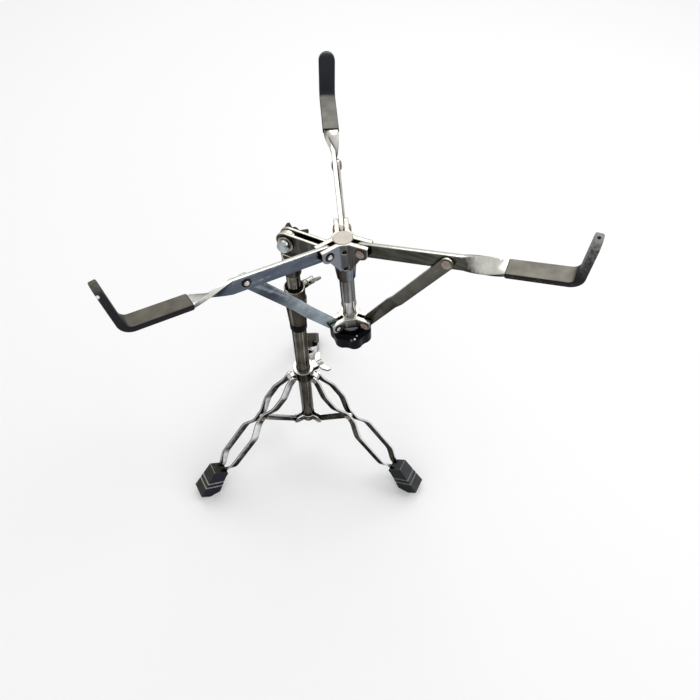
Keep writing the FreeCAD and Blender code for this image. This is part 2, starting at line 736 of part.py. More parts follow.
def clevis(core, depth, pivot_radius, wall, gap):
    """A six-sided core with slotted lugs, square above and round below, and the cuts that open them."""
    wide = f"({gap} + side_clearance * 2 + {wall} * 2)"
    reach = size_of(pivot_radius)
    half = size_of(depth) / 2
    start = size_of(core) / 2 * SLOT_START_SHARE
    solids, cuts = [hexagon(core, depth)], []
    for angle in ARM_TURNS.values():
        frame = turn(UP, angle)
        solids.append(put(block(pivot_radius, wide, depth, Vector(reach / 2, 0, 0)), frame))
        solids.append(put(cylinder(f"{depth} / 2", wide, Vector(reach, 0, 0), TO_ACROSS), frame))
        solids.append(put(block(f"{depth} / 2", wide, f"{depth} / 2",
                                Vector(reach + half / 2, 0, half / 2)), frame))
        cuts.append(put(block(f"{pivot_radius} * 3", f"{gap} + side_clearance * 2", f"{depth} * 6",
                              Vector(start + reach * 3 / 2, 0, 0)), frame))
        cuts.append(put(rivet_hole(Vector(reach, 0, 0), loose=False), frame))
    return solids, cuts


def size_of(alias):
    return getattr(size, alias)


def hub():
    """The casting with three arm lugs, the tilter fork and the stem's neck."""
    solids, cuts = clevis("hub_core_diameter", "hub_depth", "hub_pivot_radius", "hub_lug_wall",
                          "arm_thickness")
    under = "-hub_depth / 2"
    foot_of_neck = f"{under} - neck_length"
    cone = revolved([("0", under), ("hub_core_diameter / 2 / cos(30deg)", under),
                     ("stem_diameter / 2 + neck_end_wall", foot_of_neck), ("0", foot_of_neck)])
    neck = common(cone, hexagon("hub_core_diameter", "(neck_length + hub_depth) * 2"))
    gusset = [("0", under), ("hub_pivot_radius", under),
              (f"hub_core_diameter / 2 * {GUSSET_FOOT_SHARE}", f"{under} - gusset_drop"),
              ("0", f"{under} - gusset_drop")]
    lug_wide = "arm_thickness + side_clearance * 2 + hub_lug_wall * 2"
    gussets = [put(padded(gusset, lug_wide), turn(UP, angle)) for angle in ARM_TURNS.values()]
    # Each cheek runs from the neck to a round end at the tilter bolt
    cheek = [("-fork_length", "cheek_end_radius - hub_rise"), ("0", "-fork_drop"),
             ("0", "-fork_drop - fork_depth"), ("-fork_length", "-cheek_end_radius - hub_rise")]
    bolt_at = Vector(-size.fork_length, 0, -size.hub_rise)
    wide = "fork_gap + cheek_thickness * 2"
    fork = fused(padded(cheek, wide), cylinder("cheek_end_radius", wide, bolt_at, TO_ACROSS))
    opening = block("fork_length * 2", "fork_gap", "fork_depth * 4",
                    Vector(-size.fork_length - size.hub_core_diameter / 2, 0, -size.hub_rise))
    fork = cut(fork, opening, cylinder("tilter_bolt_diameter / 2 + fit_clearance", "fork_gap * 4",
                                       bolt_at, TO_ACROSS))
    stem_bore = cylinder("stem_diameter / 2", "neck_length + hub_depth * 2",
                         Vector(0, 0, size.stem_rise - size.neck_length - size.hub_depth * 2),
                         centred=False)
    cap_seat = cylinder("cap_diameter / 2", "cap_sink", Vector(0, 0, size.hub_depth / 2 - size.cap_sink),
                        centred=False)
    screws = []
    for step in (0, 1):
        frame = turn(UP, FRONT_TURN) * shift(z=-size.set_screw_drop - step * size.set_screw_pitch)
        cuts.append(put(cylinder("set_screw_diameter / 2", "hub_core_diameter", HERE, TO_ALONG,
                                 centred=False), frame))
        screws.append(put(cylinder("set_screw_diameter / 2", "stem_diameter / 2 + set_screw_length",
                                   HERE, TO_ALONG, centred=False), frame))
    node("hub", cut(fused(neck, fork, *gussets, *solids), stem_bore, cap_seat, *cuts), hub_frame)
    screws = cut(grouped(*screws), cylinder("stem_diameter / 2", "stem_drop * 4"))
    node("stem_set_screws", screws, hub_frame)
    chamfer = f"cap_thickness * {CAP_CHAMFER_SHARE}"
    cap = revolved([("0", "0"), ("cap_diameter / 2", "0"),
                    ("cap_diameter / 2", f"cap_thickness - {chamfer}"),
                    (f"cap_diameter / 2 - {chamfer}", "cap_thickness"), ("0", "cap_thickness")])
    node("hub_cap", cap, hub_frame * shift(z=size.hub_depth / 2 - size.cap_sink))
    grip = "(arm_thickness + side_clearance * 2 + hub_lug_wall * 2)"
    rivets = [put(rivet(grip, Vector(size.hub_pivot_radius, 0, 0)), turn(UP, angle))
              for angle in ARM_TURNS.values()]
    node("hub_rivets", grouped(*rivets), hub_frame)


def stem():
    tube = cut(cylinder("stem_diameter / 2", "stem_drop + stem_rise", centred=False),
               cylinder("adjuster_diameter / 2", "stem_drop * 3"))
    node("stem_tube", tube, hub_frame * shift(z=-size.stem_drop))
    screw = cylinder("adjuster_diameter / 2", "adjuster_drop - stem_drop + adjuster_grip", centred=False)
    node("adjuster_screw", screw, hub_frame * shift(z=-size.adjuster_drop))


def spider():
    solids, cuts = clevis("spider_core_diameter", "spider_depth", "spider_pivot_radius",
                          "spider_lug_wall", "brace_thickness")
    bore = cylinder("adjuster_diameter / 2 + fit_clearance", "spider_depth * 4")
    node("spider", cut(fused(*solids), bore, *cuts), spider_frame)
    grip = "(brace_thickness + side_clearance * 2 + spider_lug_wall * 2)"
    rivets = [put(rivet(grip, Vector(size.spider_pivot_radius, 0, 0)), turn(UP, angle))
              for angle in ARM_TURNS.values()]
    node("spider_rivets", grouped(*rivets), spider_frame)


def knob():
    """The lobed grip that screws up the adjuster and pushes the spider."""
    bore = "adjuster_diameter / 2 + fit_clearance"
    washer = revolved([(bore, "0"), ("knob_washer_diameter / 2", "0"),
                       ("knob_washer_diameter / 2", "knob_washer_thickness"),
                       (bore, "knob_washer_thickness")])
    top = -size.spider_depth / 2 - size.side_clearance
    washer_frame = spider_frame * shift(z=top - size.knob_washer_thickness)
    node("knob_washer", washer, washer_frame)
    chamfer = f"knob_height * {KNOB_CHAMFER_SHARE}"
    core, lobe = ([("0", "0"), (f"{wide} / 2 - {chamfer}", "0"), (f"{wide} / 2", chamfer),
                   (f"{wide} / 2", f"knob_height - {chamfer}"), (f"{wide} / 2 - {chamfer}", "knob_height"),
                   ("0", "knob_height")] for wide in ("knob_core_diameter", "knob_lobe_diameter"))
    lobes = [put(revolved(lobe), turn(UP, 360 * place / KNOB_LOBES) * shift(x=size.knob_lobe_circle / 2))
             for place in range(KNOB_LOBES)]
    grip = cut(fused(revolved(core), *lobes), cylinder("insert_diameter / 2", "knob_height * 3"))
    grip_frame = washer_frame * shift(z=-size.knob_height)
    node("knob_grip", grip, grip_frame)
    insert = cut(cylinder("insert_diameter / 2", "knob_height", centred=False),
                 cylinder(bore, "knob_height * 3"))
    node("knob_insert", insert, grip_frame)


def bent_path(start):
    """The centre line of an arm's flat end: along, round the bend and up the tip."""
    sketch = doc.addObject("Sketcher::SketchObject", "BentPath")
    bend = math.radians(size.tip_angle)
    tangent = size.bend_radius * math.tan(bend / 2)
    corner = Vector(size.bend_reach, 0, 0)
    rise = Vector(math.cos(bend), math.sin(bend), 0)
    first = corner - ALONG * tangent
    last = corner + rise * tangent
    middle = Vector(first.x, size.bend_radius, 0)
    sweep_start = -math.pi / 2
    sketch.addGeometry(Part.LineSegment(Vector(size_of(start), 0, 0), first))
    round_bend = Part.Circle(middle, UP, size.bend_radius)
    sketch.addGeometry(Part.ArcOfCircle(round_bend, sweep_start, sweep_start + bend))
    sketch.addGeometry(Part.LineSegment(last, corner + rise * (size.tip_length - size.arm_width / 2)))
    tangent_text = "bend_radius * tan(tip_angle * 1deg / 2)"
    rules = [
        ("Tangent", (0, 2, 1, 1), None), ("Tangent", (1, 2, 2, 1), None),
        ("PointOnObject", (0, 1, -1), None), ("Horizontal", (0,), None),
        ("DistanceX", (-1, 1, 0, 1, size_of(start)), start),
        ("DistanceX", (-1, 1, 0, 2, first.x), f"bend_reach - {tangent_text}"),
        ("Radius", (1, size.bend_radius), "bend_radius"),
        ("Angle", (2, bend), "tip_angle * 1deg"),
        ("Distance", (2, size.tip_length - size.arm_width / 2 - tangent),
         f"tip_length - arm_width / 2 - {tangent_text}"),
    ]
    for kind, places, text in rules:
        which = sketch.addConstraint(Sketcher.Constraint(kind, *places))
        if text:
            sketch.setExpression(f"Constraints[{which}]", bound(text))
    sketch.recompute()
    return sketch


def bar_section(grow):
    """An arm's section with a coating all round."""
    wide = f"(arm_width / 2 + {grow})"
    thick = f"(arm_thickness / 2 + {grow})"
    return polygon([(f"-{thick}", f"-{wide}"), (thick, f"-{wide}"), (thick, wide), (f"-{thick}", wide)])


def bent_bar(start, grow):
    """A flat bar along the bent path, as wide as an arm plus a coating, with a round end."""
    path = bent_path(start)
    section = bar_section(grow)
    section.Placement = Placement(Vector(size_of(start), 0, 0), FACING)
    bar = doc.addObject("Part::Sweep", "BentBar")
    bar.Sections = [section]
    bar.Spine = (path, ["Edge1", "Edge2", "Edge3"])
    bar.Solid = True
    bend = math.radians(size.tip_angle)
    rise = Vector(math.cos(bend), math.sin(bend), 0)
    at = Vector(size.bend_reach, 0, 0) + rise * (size.tip_length - size.arm_width / 2)
    end = cylinder(f"arm_width / 2 + {grow}", f"arm_thickness + {grow} * 2", at,
                   Rotation(UP, rise.cross(UP)))
    return put(fused(bar, end), turn(ALONG, 90 + 90 - size.arm_twist))


def twisted_bar(start, end):
    """The stretch where an arm turns from standing on edge to lying flat."""
    sections = []
    for step in range(TWIST_STEPS + 1):
        share = step / TWIST_STEPS
        section = bar_section("0")
        lean = Rotation(ALONG, -size.arm_twist * share)
        section.Placement = Placement(Vector(start + (end - start) * share, 0, 0), lean * FACING)
        sections.append(section)
    loft = doc.addObject("Part::Loft", "Twist")
    loft.Sections = sections
    loft.Solid = True
    return loft


def arm_solid():
    twist_start = size.arm_pivot_reach + size.twist_setback
    straight = block("arm_pivot_reach + twist_setback", "arm_thickness", "arm_width",
                     Vector(twist_start / 2, 0, 0))
    heel = cylinder("arm_width / 2", "arm_thickness", HERE, TO_ACROSS)
    bar = fused(straight, heel, twisted_bar(twist_start, size.sleeve_reach), bent_bar("sleeve_reach", "0"))
    return cut(bar, rivet_hole(), rivet_hole(Vector(size.arm_pivot_reach, 0, 0), loose=False))


def arm(side):
    node(f"{side}_arm", arm_solid(), arm_frame(side))
    sleeve = cut(bent_bar("sleeve_reach", "sleeve_wall"), bent_bar("sleeve_reach", "0"))
    node(f"{side}_sleeve", sleeve, arm_frame(side))
    face = arm_frame(side) * shift(x=size.arm_pivot_reach, y=-size.arm_thickness / 2)
    node(f"{side}_arm_rivet", half_rivet(rolled_end, "arm_thickness", TO_ACROSS), face)


def brace(side):
    """A strip that steps aside to lie along the arm's flank."""
    aside = "(arm_thickness / 2 + brace_thickness / 2 + side_clearance)"
    step = brace_length * JOGGLE_SHARE
    half = "brace_thickness / 2"
    steps = [("-brace_width", "0"), (f"{step}", "0"), (f"{step} + joggle_length", f"-{aside}"),
             (f"{brace_length} + brace_width", f"-{aside}")]
    edge = [(along, f"{out} + {half}") for along, out in steps]
    edge += [(along, f"{out} - {half}") for along, out in reversed(steps)]
    strip = padded(edge, "brace_width", "XY_Plane")
    far = Vector(brace_length, 0, 0)
    deep = "arm_thickness * 8"
    rounded = fused(block(f"{brace_length}", deep, "brace_width", far / 2),
                    cylinder("brace_width / 2", deep, HERE, TO_ACROSS),
                    cylinder("brace_width / 2", deep, far, TO_ACROSS))
    node(f"{side}_brace", cut(common(strip, rounded), rivet_hole(), rivet_hole(far, loose=False)),
         brace_frame(side))
    face = brace_frame(side) * shift(x=brace_length, y=-size.arm_thickness / 2 - size.side_clearance)
    node(f"{side}_brace_rivet", half_rivet(domed_end, "brace_thickness", Rotation(UP, -ACROSS)), face)


def check_and_write():
    doc.recompute()
    for piece in doc.Objects:
        if {"Invalid", "Error"} & set(piece.State):
            raise RuntimeError(f"{piece.Label} did not recompute")
    for piece in nodes:
        if piece.Shape.isNull() or not piece.Shape.isValid() or not piece.Shape.Solids:
            raise RuntimeError(f"{piece.Label} has no sound solid")
    os.makedirs("parts", exist_ok=True)
    for piece in nodes:
        piece.Shape.exportStep(f"parts/{piece.Label}.step")


base_tube()
lower_collar()
height_clamp()
for side in SIDES:
    spreader(side)
    leg_strip(side, 1, "one")
    leg_strip(side, -1, "two")
    leg_rivets(side)
    foot(side)
upper_collar()
mast()
hub()
stem()
spider()
knob()
for side in ARM_TURNS:
    arm(side)
    brace(side)
check_and_write()
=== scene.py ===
"""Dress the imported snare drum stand: rounded castings and strips, finishes, stage and camera."""

import json
import logging
import math
from dataclasses import dataclass, field
from enum import Enum
from typing import Any, Dict, List, Optional, Sequence, Tuple, Union

import bpy
from mathutils import Matrix, Vector

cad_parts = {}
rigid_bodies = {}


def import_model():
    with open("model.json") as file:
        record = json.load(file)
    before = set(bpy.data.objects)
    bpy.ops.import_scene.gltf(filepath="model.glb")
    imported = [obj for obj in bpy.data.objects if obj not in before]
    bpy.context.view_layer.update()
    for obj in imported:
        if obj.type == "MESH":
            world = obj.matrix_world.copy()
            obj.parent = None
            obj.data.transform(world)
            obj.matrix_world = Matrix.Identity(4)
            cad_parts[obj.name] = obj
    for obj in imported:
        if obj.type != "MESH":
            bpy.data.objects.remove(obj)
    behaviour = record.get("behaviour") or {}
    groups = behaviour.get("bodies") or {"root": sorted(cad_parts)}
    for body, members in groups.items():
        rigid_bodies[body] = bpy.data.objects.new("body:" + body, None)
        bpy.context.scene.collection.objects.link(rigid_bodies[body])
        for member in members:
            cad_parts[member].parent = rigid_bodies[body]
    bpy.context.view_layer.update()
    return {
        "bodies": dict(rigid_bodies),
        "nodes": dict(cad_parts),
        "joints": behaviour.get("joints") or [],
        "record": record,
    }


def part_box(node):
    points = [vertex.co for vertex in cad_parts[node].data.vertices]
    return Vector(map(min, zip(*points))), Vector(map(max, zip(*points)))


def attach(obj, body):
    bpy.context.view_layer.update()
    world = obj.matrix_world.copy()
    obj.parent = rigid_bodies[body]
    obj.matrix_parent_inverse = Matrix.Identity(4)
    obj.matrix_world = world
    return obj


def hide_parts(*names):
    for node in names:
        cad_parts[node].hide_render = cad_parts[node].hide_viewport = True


log = logging.getLogger("snare_drum_stand")

Pair = Tuple[float, float]
Triple = Tuple[float, float, float]
Step = Pair
Reach = Pair
Colour = Triple
Direction = Triple
Frame = Dict[str, Any]
Piece = bpy.types.Object
Material = bpy.types.Material
MM = 0.001


class Side(Enum):
    """The three directions that legs, arms and braces point in."""

    LEFT = "left"
    RIGHT = "right"
    REAR = "rear"


# Shader maths


class Value:
    """A shader socket that takes part in Python sums."""

    CORE = 0.4

    def __init__(self, shader: "Shader", socket: Optional[bpy.types.NodeSocket]) -> None:
        """Keep the tree and the socket."""
        self.shader = shader
        self.socket = socket

    def _math(self, operation: str, first: Any, second: Any) -> "Value":
        """Add a Math node on two values."""
        return self.shader.node("ShaderNodeMath", {"operation": operation}, {0: first, 1: second})

    def __add__(self, other: Any) -> "Value":
        """Sum of two values."""
        return self._math("ADD", self, other)

    __radd__ = __add__

    def __sub__(self, other: Any) -> "Value":
        """Difference of two values."""
        return self._math("SUBTRACT", self, other)

    def __rsub__(self, other: Any) -> "Value":
        """Difference from a number."""
        return self._math("SUBTRACT", other, self)

    def __mul__(self, other: Any) -> "Value":
        """Product of two values."""
        return self._math("MULTIPLY", self, other)

    __rmul__ = __mul__

    def near(self, middle: float, reach: float) -> "Value":
        """1 close to a value, falling to 0 at a reach from it."""
        away = self.shader.node("ShaderNodeMath", {"operation": "ABSOLUTE"}, {0: self - middle})
        return away.ramp(reach, reach * self.CORE)

    def ramp(self, low: float, high: float) -> "Value":
        """A value stretched so that low gives 0 and high gives 1, clamped."""
        inputs = {"Value": self, "From Min": low, "From Max": high}
        return self.shader.node("ShaderNodeMapRange", {"clamp": True}, inputs)


class Shader:
    """One material's node tree, in which a single method makes every node."""

    SPECK_CORE = 0.5
    SPECK_PATCHES = 0.11
    SPECK_PATCH_REACH = (0.52, 0.66)
    SPOT_BLUR = 0.15
    MIX_ENDS = (6, 7)
    MIX_RESULT = 2

    def __init__(self, name: str) -> None:
        """Start an empty material.

        Args:
            name: the material's name.
        """
        self.material = bpy.data.materials.new(name)
        self.material.use_nodes = True
        self.tree = self.material.node_tree
        self.tree.nodes.clear()

    def node(
        self,
        kind: str,
        settings: Optional[Dict[str, Any]] = None,
        inputs: Optional[Dict[Union[int, str], Any]] = None,
        output: Union[int, str] = 0,
    ) -> Value:
        """Add a node, set it up and link it.

        Args:
            kind: the node's type name.
            settings: properties set first.
            inputs: values or sockets for its inputs.
            output: which output to hand back.

        Returns:
            The chosen output, ready for sums.
        """
        made = self.tree.nodes.new(kind)
        for key, setting in (settings or {}).items():
            setattr(made, key, setting)
        for key, given in (inputs or {}).items():
            if isinstance(given, Value):
                self.tree.links.new(given.socket, made.inputs[key])
            else:
                made.inputs[key].default_value = given
        return Value(self, made.outputs[output] if len(made.outputs) else None)

    def place(self) -> Value:
        """The object's own coordinates, which are metres in the stand's frame."""
        return self.node("ShaderNodeTexCoord", output="Object")

    def stretched(self, lengthen: Triple, heading: float = 0.0) -> Value:
        """Object coordinates drawn out along axes, for grain that runs one way.

        Args:
            lengthen: how many times longer the grain is along each axis.
            heading: the direction of the first axis in plan, in degrees.

        Returns:
            The coordinates.
        """
        turn = (0.0, 0.0, math.radians(heading))
        inputs = {"Vector": self.place(), "Rotation": turn, "Scale": lengthen}
        return self.node("ShaderNodeMapping", {"vector_type": "TEXTURE"}, inputs)

    def noise(self, scale: float, detail: float = 3.0, where: Optional[Value] = None) -> Value:
        """Smooth noise over the surface.

        Args:
            scale: features per metre.
            detail: octaves.
            where: coordinates, the object's own by default.

        Returns:
            The noise's value.
        """
        inputs = {"Vector": where or self.place(), "Scale": scale, "Detail": detail}
        return self.node("ShaderNodeTexNoise", {}, inputs)

    def specks(self, scale: float, size: float) -> Value:
        """Round specks scattered over the surface, 1 inside and 0 outside.

        Args:
            scale: cells per metre.
            size: how large a speck is within its cell.

        Returns:
            The mask.
        """
        inputs = {"Vector": self.place(), "Scale": scale}
        cells = self.node("ShaderNodeTexVoronoi", {"feature": "F1"}, inputs)
        patchy = self.noise(scale * self.SPECK_PATCHES).ramp(*self.SPECK_PATCH_REACH)
        return cells.ramp(size, size * self.SPECK_CORE) * patchy

    def facing(self, direction: Direction = (0.0, 0.0, 1.0)) -> Value:
        """How far a surface faces a direction, upwards by default: 1 squarely, -1 away."""
        normal = self.node("ShaderNodeTexCoord", output="Normal")
        return self._vector_math("DOT_PRODUCT", normal, direction)

    def along(self, direction: Direction) -> Value:
        """How far along a direction a point of the surface is, in metres."""
        return self._vector_math("DOT_PRODUCT", self.place(), direction)

    def _vector_math(self, operation: str, first: Value, second: Triple) -> Value:
        """A number from two vectors."""
        settings, inputs = {"operation": operation}, {0: first, 1: second}
        return self.node("ShaderNodeVectorMath", settings, inputs, output="Value")

    def ridge(self, low: float, high: float) -> Value:
        """Where a close-meshed surface has a proud edge, for rubbed corners and painted edge
        highlights.
        """
        return self.node("ShaderNodeNewGeometry", output="Pointiness").ramp(low, high)

    def spot(self, centre: Triple, radius: float) -> Value:
        """A small mark round a point, 1 inside and 0 outside.

        Args:
            centre: the point, in metres.
            radius: the mark's radius, in metres.

        Returns:
            The mask.
        """
        away = self._vector_math("DISTANCE", self.place(), centre)
        return away.ramp(radius * (1.0 + self.SPOT_BLUR), radius * (1.0 - self.SPOT_BLUR))

    def attribute(self, name: str) -> Value:
        """A number stored on the piece's own points."""
        return self.node("ShaderNodeAttribute", {"attribute_name": name}, output="Fac")

    def mix(self, share: Any, first: Any, second: Any) -> Value:
        """Blend two colours.

        Args:
            share: how much of the second colour shows.
            first: a colour or a colour socket.
            second: a colour or a colour socket.

        Returns:
            The blended colour.
        """
        ends = [(*end, 1.0) if isinstance(end, tuple) else end for end in (first, second)]
        inputs = {"Factor": share, **dict(zip(self.MIX_ENDS, ends))}
        return self.node("ShaderNodeMix", {"data_type": "RGBA"}, inputs, self.MIX_RESULT)

    def relief(self, height: Value, depth: float, strength: float) -> Value:
        """A bumped normal.

        Args:
            height: the relief's height, 0 to 1.
            depth: the height of 1, in metres.
            strength: how strongly it shows.

        Returns:
            The normal.
        """
        inputs = {"Height": height, "Distance": depth, "Strength": strength}
        return self.node("ShaderNodeBump", {}, inputs)

    def surface(self, **inputs: Any) -> Material:
        """Close the tree with a Principled surface.

        Args:
            inputs: the shader's inputs, with _ for a space in their names.

        Returns:
            The finished material.
        """
        named = {key.replace("_", " "): given for key, given in inputs.items()}
        shader = self.node("ShaderNodeBsdfPrincipled", {}, named)
        self.node("ShaderNodeOutputMaterial", {}, {"Surface": shader})
        return self.material


# Finishes


@dataclass(frozen=True)
class Plating:
    """Chrome plate in a white room, with light painted into its colour: painted shade on dark
    clouded flanks, a painted highlight on tops, painted reflection stripes and patches, streaks and
    pits.
    """

    name: str
    # the dark and cloudy flank tones and the top tone are shaded and lit tones of one plate:
    # painted shade on the flanks, a painted highlight on faces turned to the sky direction
    dark: Colour
    cloudy: Colour
    glint: Colour
    top: Colour
    tarnish: Colour = (0.020, 0.017, 0.013)
    roughness: float = 0.12
    cloud_scale: float = 45.0
    cloud_reach: Reach = (0.36, 0.66)
    cloud_haze: float = 0.05
    streak_scale: float = 330.0
    streak_reach: Reach = (0.50, 0.72)
    streak_haze: float = 0.04
    grain: Triple = (1.0, 1.0, 40.0)
    heading: float = 0.0
    streak_share: float = 0.55
    smear_scale: float = 140.0
    smear_reach: Reach = (0.40, 0.75)
    smear_share: float = 0.35
    smear_haze: float = 0.06
    pit_scale: float = 1500.0
    pit_size: float = 0.30
    pit_haze: float = 0.3
    wander_scale: float = 160.0
    wander: float = 0.30
    # lip and sky: faces turned towards the sky direction take the top colour, a painted highlight
    lip: Reach = (0.16, 0.62)
    ripple_scale: float = 260.0
    ripple_depth: float = 0.15 * MM
    ripple: float = 0.10
    ripple_parts: Triple = (0.6, 0.2, 0.5)
    # edge_reach and edge_share: proud edges take the top colour, partly wear and partly a painted
    # highlight
    edge_reach: Reach = (0.515, 0.60)
    edge_share: float = 0.0
    sky: Direction = (0.0, 0.0, 1.0)
    rim: float = 0.30
    # painted reflection: flanks turned towards a way take a lighter colour
    tint: Optional[Colour] = None
    tint_way: Direction = (0.58, -0.81, 0.0)
    tint_reach: Reach = (0.84, 0.98)
    # painted reflection: lighter stripes on the flanks where the normal turns a given amount
    # towards a way
    bands: Tuple[Step, ...] = ()
    band_way: Direction = (1.0, 0.0, 0.0)
    band_shares: Pair = (0.35, 0.45)
    # painted highlight: a lighter patch round a given distance along a way
    shine: Optional[Colour] = None
    shine_way: Direction = (0.0, 0.0, 1.0)
    shine_at: Step = (0.0, 1.0)

    def material(self) -> Material:
        """Build the plate's material.

        Returns:
            The material.
        """
        s = Shader(self.name)
        cloud = s.noise(self.cloud_scale, detail=4.0).ramp(*self.cloud_reach)
        lines = s.stretched(self.grain, self.heading)
        streak = s.noise(self.streak_scale, detail=2.0, where=lines).ramp(*self.streak_reach)
        smear = s.noise(self.smear_scale, detail=4.0).ramp(*self.smear_reach)
        pits = s.specks(self.pit_scale, self.pit_size)
        # painted highlight: faces turned to the sky direction take the top colour, and the flanks
        # keep the darker colours as painted shade
        lift = s.facing(self.sky) + (s.noise(self.wander_scale) - 0.5) * self.wander
        bright = lift.ramp(*self.lip)
        flank = s.mix(cloud, self.dark, self.cloudy)
        # painted reflection on the flanks turned one way
        if self.tint:
            flank = s.mix(s.facing(self.tint_way).ramp(*self.tint_reach), flank, self.tint)
        # painted reflection stripes on the flanks
        even, clouded = self.band_shares
        for middle, reach in self.bands:
            reflection_band = s.facing(self.band_way).near(middle, reach)
            flank = s.mix(reflection_band * (even + cloud * clouded), flank, self.glint)
        # painted highlight patch
        if self.shine:
            lit = s.along(self.shine_way).near(*self.shine_at)
            flank = s.mix(lit * (even + cloud * clouded), flank, self.shine)
        flank = s.mix(streak * self.streak_share, flank, self.glint)
        # proud edges: partly wear, partly a painted highlight
        if self.edge_share:
            flank = s.mix(s.ridge(*self.edge_reach) * self.edge_share, flank, self.top)
        face = s.mix(smear * self.smear_share, self.top, self.glint)
        base = s.mix(pits, s.mix(bright, flank, face), self.tarnish)
        haze = cloud * self.cloud_haze + streak * self.streak_haze + smear * self.smear_haze
        rough = self.roughness + haze + pits * self.pit_haze
        swell, line, hole = self.ripple_parts
        relief = s.noise(self.ripple_scale, detail=2.0) * swell + streak * line - pits * hole
        normal = s.relief(relief, self.ripple_depth, self.ripple)
        grazing = (self.rim, self.rim, self.rim, 1.0)
        return s.surface(
            Base_Color=base, Metallic=1.0, Roughness=rough, Normal=normal, Specular_Tint=grazing
        )


@dataclass(frozen=True)
class Mark:
    """A small mark on a moulding: a worn or torn place on the sleeves, a painted highlight on the
    knob.
    """

    centre: Triple
    radius: float
    colour: Colour


@dataclass(frozen=True)
class Moulding:
    """Moulded rubber, vinyl or plastic, with grain, dusting and painted sheen on upward faces,
    rubbed edges that are partly a painted highlight, and scuffs.
    """

    name: str
    body: Colour
    # the colour of upward faces: partly dusting, partly painted sheen
    dust: Colour
    scuff: Colour
    roughness: float
    dust_share: float = 0.5
    dust_lip: Reach = (0.35, 0.95)
    grain_scale: float = 1500.0
    dust_haze: float = 0.15
    grain: float = 0.25
    grain_haze: float = 0.10
    grain_depth: float = 0.08 * MM
    specular: float = 0.5
    patch_scale: float = 70.0
    patch_reach: Reach = (0.36, 0.68)
    patch_share: float = 0.4
    scratch_scale: float = 420.0
    scratch_grain: Triple = (1.0, 10.0, 1.0)
    scratch_reach: Reach = (0.63, 0.72)
    scratch_share: float = 0.30
    wear_reach: Reach = (0.30, 0.60)
    # edge_share: proud edges take the rubbed colour, partly wear and partly a painted highlight
    edge_share: float = 0.0
    edge_lip: Reach = (0.52, 0.60)
    worn_attribute: str = ""
    marks: Tuple[Mark, ...] = ()

    def material(self) -> Material:
        """Build the moulding's material.

        Returns:
            The material.
        """
        s = Shader(self.name)
        patches = s.noise(self.patch_scale, detail=5.0).ramp(*self.patch_reach)
        grain = s.noise(self.grain_scale, detail=2.0)
        lines = s.stretched(self.scratch_grain)
        scratches = s.noise(self.scratch_scale, detail=2.0, where=lines).ramp(*self.scratch_reach)
        patchy = 1.0 - self.patch_share + patches * self.patch_share
        # painted sheen, partly dusting: faces turned upwards take the lighter colour
        upward_dust_and_sheen = s.facing().ramp(*self.dust_lip) * patchy * self.dust_share
        worn = scratches * patches * self.scratch_share
        if self.worn_attribute:
            rubbed = s.noise(self.scratch_scale, detail=4.0).ramp(*self.wear_reach)
            worn = worn + s.attribute(self.worn_attribute) * rubbed
        # proud edges: partly wear, partly a painted highlight
        if self.edge_share:
            worn = worn + s.ridge(*self.edge_lip) * self.edge_share
        base = s.mix(worn, s.mix(upward_dust_and_sheen, self.body, self.dust), self.scuff)
        # marks: wear on the sleeves, painted highlights on the knob
        for mark in self.marks:
            base = s.mix(s.spot(mark.centre, mark.radius), base, mark.colour)
        rough = self.roughness + grain * self.grain_haze + upward_dust_and_sheen * self.dust_haze
        rough = rough - self.grain_haze / 2
        normal = s.relief(grain, self.grain_depth, self.grain)
        return s.surface(
            Base_Color=base, Roughness=rough, Normal=normal, Specular_IOR_Level=self.specular
        )


